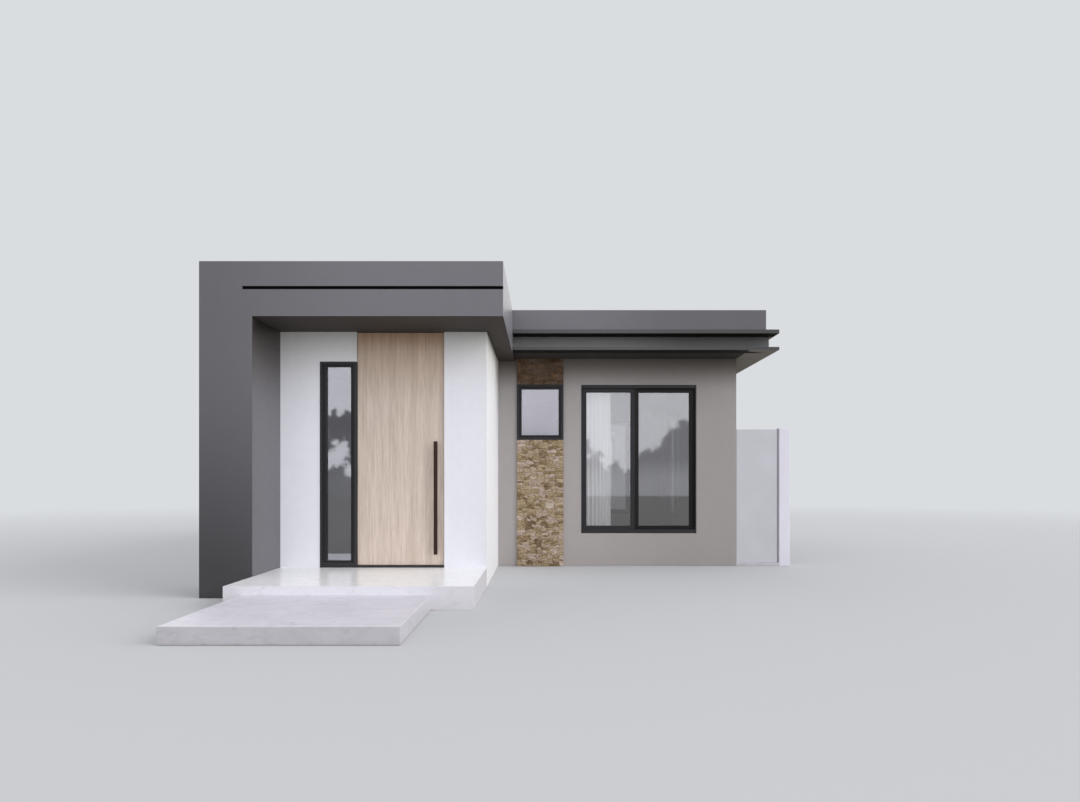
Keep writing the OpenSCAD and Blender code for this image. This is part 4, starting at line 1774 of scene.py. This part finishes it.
@dataclass
class Windows(SubAssembly):
    """Frames, sashes and panes, with a black gasket round each pane."""

    edge: float = 0.003
    rim: float = 0.036
    rebate: float = 0.020
    gasket_reach: float = 0.005
    gasket_stand: float = 0.005
    gasket_lap: float = 0.002

    def gaskets(self, name: str, node: str) -> bpy.types.Object:
        """Gaskets on both faces of each pane of a node, as one mesh.

        A bead that laps the frame, lies on the pane and ends in a quarter round is carried round
        each pane's outline.

        Args:
            name: Name of the piece.
            node: The CAD node of the panes.

        Returns:
            The gaskets as one piece.
        """
        turn = np.linspace(0, np.pi / 2, 4)
        reach, stand = self.gasket_reach, self.gasket_stand
        round_side = np.stack([np.cos(turn) * reach, np.sin(turn) * stand], axis=1)
        bead = np.array([[-self.gasket_lap, 0.0], *round_side, [-self.gasket_lap, stand]])
        rings = []
        for low, high in solid_boxes(node):
            thin = int(np.argmin(high - low))
            wide = 1 - thin
            path = np.array(
                [
                    [low[wide], low[2]],
                    [high[wide], low[2]],
                    [high[wide], high[2]],
                    [low[wide], high[2]],
                ]
            )
            for face, side in ((low[thin], -1.0), (high[thin], 1.0)):
                local = mitred(path, bead)
                ring = np.empty_like(local)
                ring[..., wide] = local[..., 0]
                ring[..., 2] = local[..., 1]
                ring[..., thin] = face + side * local[..., 2]
                rings.append(ring)
        points = np.stack(rings)
        rows, cols = points.shape[1:3]
        faces = repeated(quads(rows, cols, wrap_rows=True, wrap_cols=True), rows * cols, len(rings))
        made = mesh_object(name, points, faces)
        clean(made)
        return dress(made, Palette.frame, Body.HOUSE)

    def rebated_frame(self, node: str, pane: str) -> bpy.types.Object:
        """Frames with a rim in front and a darker inner profile set back behind it.

        Each frame is six loops of four corners. A loop's corner stands at the frame's corner,
        moved inwards along both edges by nothing, the rim's width or the whole member's width,
        and back from the outer face by nothing, the rebate or the frame's whole depth.

        Args:
            node: The CAD node of the frames that are replaced.
            pane: The CAD node of the panes that they hold.

        Returns:
            The frames as one mesh, with their set-back faces marked.
        """
        middle = (corners("left_wall")[0] + corners("right_wall")[1]) / 2
        loops = []
        for (low, high), (glass_low, glass_high) in zip(solid_boxes(node), solid_boxes(pane)):
            thin = int(np.argmin(glass_high - glass_low))
            wide = 1 - thin
            outwards = 1.0 if (low[thin] + high[thin]) / 2 > middle[thin] else -1.0
            face = high[thin] if outwards > 0 else low[thin]
            depth = high[thin] - low[thin]
            member = np.array([glass_low[wide] - low[wide], glass_low[2] - low[2]])
            rim = np.full(2, self.rim)
            none = np.zeros(2)
            inset = np.array([none, rim, rim, member, member, none])
            behind = np.array([0, 0, self.rebate, self.rebate, depth, depth])
            sign = np.array([[-1, -1], [1, -1], [1, 1], [-1, 1]])
            reach = np.array([high[wide] - low[wide], high[2] - low[2]]) / 2
            centre = np.array([high[wide] + low[wide], high[2] + low[2]]) / 2
            flat = centre + sign[:, None, :] * (reach - inset)[None]
            loop = np.empty((4, 6, 3))
            loop[..., wide] = flat[..., 0]
            loop[..., 2] = flat[..., 1]
            loop[..., thin] = face - outwards * behind
            loops.append(loop)
        faces = repeated(quads(4, 6, wrap_rows=True, wrap_cols=True), 24, len(loops))
        made = mesh_object(f"{node}_bars", np.stack(loops), faces)
        marked(made, "deep", np.isin(np.arange(len(faces)) % 6, (1, 2, 3)), "FACE")
        clean(made)
        rounded(made, self.edge)
        return dress(made, Palette.rebated, Body.HOUSE, node)

    def build(self) -> list[bpy.types.Object]:
        """Round the frames' edges, bed the panes and finish the glass.

        Returns:
            The new pieces.
        """
        plain = {
            "wide_window_frame": Palette.frame,
            "wide_window_sashes": Palette.sashes,
            "other_wide_frames": Palette.frame,
            "other_wide_sashes": Palette.frame,
        }
        rebated = {
            "sidelight_frame": "sidelight_glass",
            "small_window_frame": "small_window_glass",
            "other_small_frames": "other_small_glass",
        }
        made = [
            softened(f"{node}_bars", node, finish, self.edge) for node, finish in plain.items()
        ]
        made += [self.rebated_frame(node, pane) for node, pane in rebated.items()]
        panes = {
            "sidelight_glass": Palette.clear,
            "wide_window_glass": Palette.wide,
            "other_wide_glass": Palette.tinted,
            "small_window_glass": Palette.frosted,
            "other_small_glass": Palette.frosted,
        }
        for node, finish in panes.items():
            repaint(finish, node)
            made.append(self.gaskets(node.replace("glass", "gaskets"), node))
        return made


@dataclass
class Curtain(SubAssembly):
    """A gathered curtain on its rail behind the wide window's left pane.

    Attributes:
        folds: Number of wide folds at the foot.
        pleats_each: Fine pleats at the top to each of them.
        pleat_swing: How far the pleats swing to the front and rear.
        top_swing: How far the folds swing at the top.
        foot_swing: How far they swing at the foot.
        merge_from: Share of the length at which the pleats start to merge.
        merge_over: Share of the length over which they do.
        uneven: How far the folds differ in width, in turns.
        omega: How far the folds bulge to the sides.
        cloth: Thickness of the cloth.
        side_gap: What stays free on the left and right in the curtain's box.
        columns: Points across the cloth.
        rows: Points down the cloth.
        ring_radius: Radius of a ring, to the middle of its wire.
        ring_wire: Radius of the wire.
        ring_drop: How far the rings hang below the rail's middle.
        ring_inset: Distance of the outer rings from the curtain's sides.
        ring_grid: Points round a ring and round its wire.
    """

    folds: int = 8
    pleats_each: int = 3
    pleat_swing: float = 0.0085
    top_swing: float = 0.003
    foot_swing: float = 0.027
    merge_from: float = 0.25
    merge_over: float = 0.65
    uneven: float = 0.16
    omega: float = 0.006
    cloth: float = 0.0008
    side_gap: float = 0.004
    columns: int = 361
    rows: int = 60
    ring_radius: float = 0.019
    ring_wire: float = 0.0025
    ring_drop: float = 0.003
    ring_inset: float = 0.03
    ring_grid: tuple[int, int] = (28, 8)

    def sheet(self) -> bpy.types.Object:
        """The cloth as a surface of s across and t down.

        At the top Y swings in fine pleats, several to a fold, and towards the foot they merge
        into wide folds, one turn each. X swings at twice the folds' rate, so that they bulge, and
        the folds drift a little with t.

        Returns:
            The cloth, with its flat width and length in the UV map.
        """
        low, high = corners("curtain")
        margin = self.omega + self.side_gap
        s = np.linspace(0, 1, self.columns)[None, :]
        t = np.linspace(0, 1, self.rows)[:, None]
        turn = 2 * np.pi * (self.folds * s + self.uneven * np.sin(2.2 * np.pi * s + 1.1 * t))
        merged = np.clip((t - self.merge_from) / self.merge_over, 0, 1)
        merged = merged ** 2 * (3 - 2 * merged)
        swing = self.top_swing + (self.foot_swing - self.top_swing) * merged
        swing = swing * (1 + 0.15 * np.sin(9.4 * s + 2.0 * t))
        fine = self.pleat_swing * (1 - merged)
        middle = (low[1] + high[1]) / 2
        points = np.empty((self.rows, self.columns, 3))
        width = high[0] - low[0] - 2 * margin
        points[..., 0] = low[0] + margin + width * s + self.omega * np.sin(2 * turn) * merged
        points[..., 1] = middle + swing * np.sin(turn) + fine * np.sin(self.pleats_each * turn)
        points[..., 2] = high[2] + (low[2] - high[2]) * t
        made = mesh_object("curtain_cloth", points, quads(self.rows, self.columns))
        step = np.diff(points, axis=1)
        lengths = np.sqrt((step ** 2).sum(axis=2))
        across = np.pad(np.cumsum(lengths, axis=1), ((0, 0), (1, 0)))
        flat_length = float(high[2] - low[2])
        down = np.broadcast_to(t * flat_length, across.shape)
        uv = np.stack([across, down], axis=2).reshape(-1, 2)
        layer = made.data.uv_layers.new(name="cloth")
        loop = np.empty(len(made.data.loops), np.int32)
        made.data.loops.foreach_get("vertex_index", loop)
        layer.data.foreach_set("uv", uv[loop].astype(np.float32).ravel())
        made.data.polygons.foreach_set("use_smooth", np.ones(len(made.data.polygons), bool))
        thickness = made.modifiers.new("thickness", "SOLIDIFY")
        thickness.thickness = self.cloth
        thickness.offset = 0.0
        dress(made, Palette.cloth, Body.HOUSE, "curtain")
        return made

    def rings(self) -> bpy.types.Object:
        """Rings that carry the curtain, as surfaces of two angles round the rail.

        Returns:
            The rings as one piece.
        """
        low, high = corners("curtain")
        rail_low, rail_high = corners("curtain_rail")
        centre_y = (low[1] + high[1]) / 2
        centre_z = rail_low[2] + (rail_high[2] - rail_low[2]) / 2
        rows, cols = self.ring_grid
        around = np.linspace(0, 2 * np.pi, rows, endpoint=False)[:, None]
        tube = np.linspace(0, 2 * np.pi, cols, endpoint=False)[None, :]
        places = np.linspace(low[0] + self.ring_inset, high[0] - self.ring_inset, self.folds + 1)
        reach = self.ring_radius + self.ring_wire * np.cos(tube)
        points = np.empty((len(places), rows, cols, 3))
        points[..., 0] = places[:, None, None] + self.ring_wire * np.sin(tube)
        points[..., 1] = centre_y + reach * np.cos(around)
        points[..., 2] = centre_z - self.ring_drop + reach * np.sin(around)
        faces = repeated(quads(rows, cols, wrap_rows=True, wrap_cols=True), rows * cols, len(places))
        made = mesh_object("curtain_rings", points, faces)
        clean(made)
        return dress(made, Palette.rail, Body.HOUSE)

    def build(self) -> list[bpy.types.Object]:
        """Hang the curtain."""
        repaint(Palette.rail, "curtain_rail")
        return [self.sheet(), self.rings()]


@dataclass
class EntryDoor(SubAssembly):
    """The oak pivot door, its pull bars, pivots and threshold."""

    edge: float = 0.002
    ribs: int = 9
    rib: float = 0.0025
    rib_points: int = 6
    lip: float = 0.004

    def threshold(self) -> bpy.types.Object:
        """A metal threshold with ribs along it.

        Its section is a box whose top is a row of half waves, ribs across its width.

        Returns:
            The threshold as one piece.
        """
        low, high = corners("door_threshold")
        y = np.linspace(low[1] + self.lip, high[1] - self.lip, self.ribs * self.rib_points + 1)
        wave = np.abs(np.sin(np.pi * self.ribs * (y - y[0]) / (y[-1] - y[0])))
        top = np.stack([y, high[2] - self.rib * (1 - wave)], axis=1)
        edge = high[2] - self.lip
        foot = np.array([[high[1], edge], [high[1], low[2]], [low[1], low[2]], [low[1], edge]])
        made = prism("threshold_plate", np.concatenate([top, foot]), low[0], high[0])
        return dress(made, Palette.frame, Body.HOUSE, "door_threshold")

    def build(self) -> list[bpy.types.Object]:
        """Finish the door and what carries it.

        Returns:
            The new pieces.
        """
        repaint(Palette.frame, "door_pivots")
        return [
            softened("door_panel", "door_leaf", Palette.oak, self.edge, Body.DOOR),
            softened("pull_bars", "door_pulls", Palette.pull, self.edge, Body.DOOR),
            self.threshold(),
        ]


@dataclass
class Porch(SubAssembly):
    """The tiled porch floor and the landing step."""

    edge: float = 0.006

    def build(self) -> list[bpy.types.Object]:
        """Tile the porch and round the step's edges."""
        repaint(Palette.tile, "porch_floor")
        return [softened("landing_stone", "landing_step", Palette.step, self.edge)]


@dataclass
class SideGate(SubAssembly):
    """The gate leaf beside the wing, with its post, hinges and sill."""

    edge: float = 0.003

    def build(self) -> list[bpy.types.Object]:
        """Finish the gate and round its edges.

        Returns:
            The new pieces.
        """
        repaint(Palette.hinge, "gate_hinges")
        return [
            softened("gate_panel", "side_gate", Palette.gate, self.edge, Body.GATE),
            softened("gate_pillar", "gate_post", Palette.post, self.edge * 2),
            softened("gate_step", "gate_sill", Palette.step, self.edge),
        ]


@dataclass
class Studio:
    """Camera, floor, plain background and soft light.

    Attributes:
        camera_place: Where the camera stands.
        lens: Focal length in millimetres.
        sensor: Width of the sensor in millimetres.
        image: Width and height of the image in pixels.
        aim_pixel: Pixel that lies straight ahead of the camera.
        backdrop: Colour of the background.
        floor_seen: Colour of the floor as the camera sees it.
        floor_lit: Colour of the floor as it lights the house.
        floor_size: Side of the floor.
        floor_drop: How far the floor lies below the house's foot.
        floor_rows: Number of rows of the floor's points.
        fade: Distances from the origin between which the floor fades into the backdrop.
        sky: Strength of the even light from above.
        sky_low: Its strength from the horizon.
        sky_tint: Its colour.
        sky_front: Share that it gains low in front of the house.
        bank_rise: Height of the mirrored bank of shade, as a direction's rise.
        bank_swing: How far the bank's outline swings with the noise.
        bank_at: Place of the noise that gives the outline.
        bank_step: How far that place moves for directions on the left.
        bank_left: Rightward share of a direction from which the left part starts, and is full.
        bank_dim: Share of light that the bank loses in the left part.
        bank_right: Rightward share from which the calm right part starts, and is full.
        bank_calm: Share of the swing that the outline loses on the right.
        bank_drop: How far it lies lower on the right.
        bank_lift: How far it steps up again further right.
        bank_lift_at: Rightward share from which that step starts, and is full.
        bank_colours: Colours of the bank at its foot and higher up.
        cloud: Colour of the mirrored sky over the bank.
        sun: Strength of the lamp.
        sun_from: Direction that the lamp shines from.
        sun_spread: Angle in degrees over which the lamp's light is spread.
    """

    camera_place: tuple[float, float, float] = (0.052, -13.63, 1.5)
    lens: float = 24.0
    sensor: float = 36.0
    image: tuple[int, int] = (1080, 802)
    aim_pixel: tuple[float, float] = (545.0, 481.0)
    backdrop: Colour = (0.70, 0.72, 0.745)
    floor_seen: Colour = (0.56, 0.565, 0.575)
    floor_lit: Colour = (0.325, 0.315, 0.30)
    floor_size: float = 120.0
    floor_drop: float = 0.002
    floor_rows: int = 9
    fade: tuple[float, float] = (14.0, 38.0)
    sky: float = 0.88
    sky_low: float = 0.975
    sky_tint: Colour = (0.985, 1.0, 1.03)
    sky_front: float = 0.72
    bank_rise: float = 0.050
    bank_swing: float = 0.34
    bank_at: tuple[float, float, float] = (6.4, 1.0, 9.0)
    bank_step: tuple[float, float, float] = (1.7, 9.2, 8.1)
    bank_left: tuple[float, float] = (-0.05, -0.25)
    bank_dim: float = 0.45
    bank_right: tuple[float, float] = (0.115, 0.13)
    bank_calm: float = 0.70
    bank_drop: float = 0.001
    bank_lift: float = 0.014
    bank_lift_at: tuple[float, float] = (0.155, 0.170)
    bank_colours: tuple[Colour, Colour] = ((0.68, 0.68, 0.69), (0.47, 0.47, 0.49))
    cloud: Colour = (1.36, 1.36, 1.38)
    sun: float = 2.0
    sun_from: tuple[float, float, float] = (1.0, -0.32, 0.38)
    sun_spread: float = 50.0

    def camera(self) -> None:
        """A level camera, shifted so that its aim falls on the photograph's pixel."""
        lens = bpy.data.cameras.new("camera")
        lens.lens = self.lens
        lens.sensor_width = self.sensor
        lens.sensor_fit = "HORIZONTAL"
        lens.clip_end = 300.0
        width, height = self.image
        lens.shift_x = (width / 2 - self.aim_pixel[0]) / width
        lens.shift_y = (self.aim_pixel[1] - height / 2) / width
        made = placed("camera", lens)
        made.location = self.camera_place
        made.rotation_euler = (math.pi / 2, 0.0, 0.0)
        bpy.context.scene.camera = made

    def floor(self) -> None:
        """A wide floor that fades into the backdrop and keeps the house's shadow."""
        rows = self.floor_rows
        side = np.linspace(-0.5, 0.5, rows) * self.floor_size
        grid = np.full((rows, rows, 3), -self.floor_drop)
        grid[..., 0] = side[None, :]
        grid[..., 1] = side[:, None]
        made = mesh_object("studio_floor", grid, quads(rows, rows))
        paint = bpy.data.materials.new("studio_floor")
        paint.use_nodes = True
        graph = Graph(paint.node_tree)
        seen = graph.ray("Is Camera Ray")
        flat = graph.vector_math("MULTIPLY", graph.place(), (1.0, 1.0, 0.0))
        reach = graph.add("ShaderNodeVectorMath", {"operation": "LENGTH"}, {0: flat}, out="Value")
        colour = graph.mix(self.floor_lit, self.floor_seen, seen)
        near = graph.add("ShaderNodeBsdfDiffuse", None, {"Color": colour})
        far = graph.add("ShaderNodeEmission", None, {"Color": self.backdrop, "Strength": 1.0})
        share = reach.smooth(*self.fade) * seen
        graph.finish(graph.add("ShaderNodeMixShader", None, {0: share, 1: near, 2: far}))
        made.data.materials.append(paint)

    def mirrored(self, graph: Graph, course: Wire) -> Wire:
        """What gloss and panes mirror: a bank of shade below a clouded sky.

        The bank's outline is the line where a direction's rise passes bank_rise, moved up and
        down by noise. On the right it is calmer, lies a little lower and steps up once.

        Args:
            graph: The node tree of the world.
            course: Direction of the light, with a length of one.

        Returns:
            The colour seen in each direction.
        """
        across, _, rise = graph.split(course)
        left = across.smooth(*self.bank_left)
        aside = graph.join(*(left * step for step in self.bank_step))
        spot = graph.vector_math("ADD", graph.vector_math("ADD", course, self.bank_at), aside)
        drift = graph.noise(spot, 11.0, detail=8.0, rough=0.62)
        bank = graph.mix(*self.bank_colours, rise.smooth(0.0, 0.035))
        bank = graph.shaded(bank, 1.0 - left * self.bank_dim)
        clouds = graph.noise(course, 9.0, stretch=(1.0, 1.0, 2.5), detail=5.0).swing(0.12)
        calm = across.smooth(*self.bank_right)
        lift = across.smooth(*self.bank_lift_at) * self.bank_lift - calm * self.bank_drop
        line = rise - lift + (drift - 0.5) * (1.0 - calm * self.bank_calm) * self.bank_swing
        edge = line.smooth(self.bank_rise, self.bank_rise + 0.005)
        return graph.mix(bank, graph.shaded(self.cloud, clouds), edge)

    def even_light(self, graph: Graph, course: Wire) -> Wire:
        """Light that grows weaker from the horizon up, and is stronger low in front of the house.

        Args:
            graph: The node tree of the world.
            course: Direction of the light, with a length of one.

        Returns:
            The colour of the light from each direction.
        """
        _, back, rise = graph.split(course)
        low = tuple(self.sky_low * share for share in self.sky_tint)
        high = tuple(self.sky * share for share in self.sky_tint)
        soft = graph.mix(low, high, rise.smooth(0.0, 0.35))
        front = back.smooth(-0.45, -0.95) * rise.smooth(0.45, 0.05)
        return graph.shaded(soft, front * self.sky_front + 1.0)

    def world(self) -> None:
        """Even light all round, seen by the camera as the backdrop and by gloss as a soft sky."""
        world = bpy.data.worlds.new("studio")
        world.use_nodes = True
        bpy.context.scene.world = world
        graph = Graph(world.node_tree)
        course = graph.add("ShaderNodeTexCoord", out="Generated")
        lit, mirrored = self.even_light(graph, course), self.mirrored(graph, course)
        plain = graph.math("MAXIMUM", graph.ray("Is Camera Ray"), graph.ray("Is Transmission Ray"))
        light = graph.mix(graph.mix(lit, mirrored, graph.ray("Is Glossy Ray")), self.backdrop, plain)
        graph.finish(graph.add("ShaderNodeBackground", None, {"Color": light, "Strength": 1.0}))

    def lamps(self) -> None:
        """One wide, soft lamp from the front and right, above the house."""
        lamp = bpy.data.lights.new("soft_lamp", "SUN")
        lamp.energy = self.sun
        lamp.angle = math.radians(self.sun_spread)
        made = placed("soft_lamp", lamp)
        x, y, z = self.sun_from
        made.rotation_euler = (math.atan2(math.hypot(x, y), z), 0.0, math.atan2(x, -y))

    def build(self) -> None:
        """Set up the studio round the house."""
        self.camera()
        self.floor()
        self.world()
        self.lamps()
        bpy.context.scene.view_settings.view_transform = "Standard"


def main() -> None:
    """Build every sub-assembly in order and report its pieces."""
    logging.basicConfig(level=logging.INFO, format="%(name)s: %(message)s")
    Studio().build()
    assemblies: tuple[SubAssembly, ...] = (
        Portal(),
        WingRoof(),
        Walls(),
        StoneStrip(),
        Windows(),
        Curtain(),
        EntryDoor(),
        Porch(),
        SideGate(),
    )
    for assembly in assemblies:
        name = type(assembly).__name__
        for piece in assembly.build():
            log.info("%s: %s, %d faces", name, piece.name, len(piece.data.polygons))


if __name__ == "__main__":
    main()
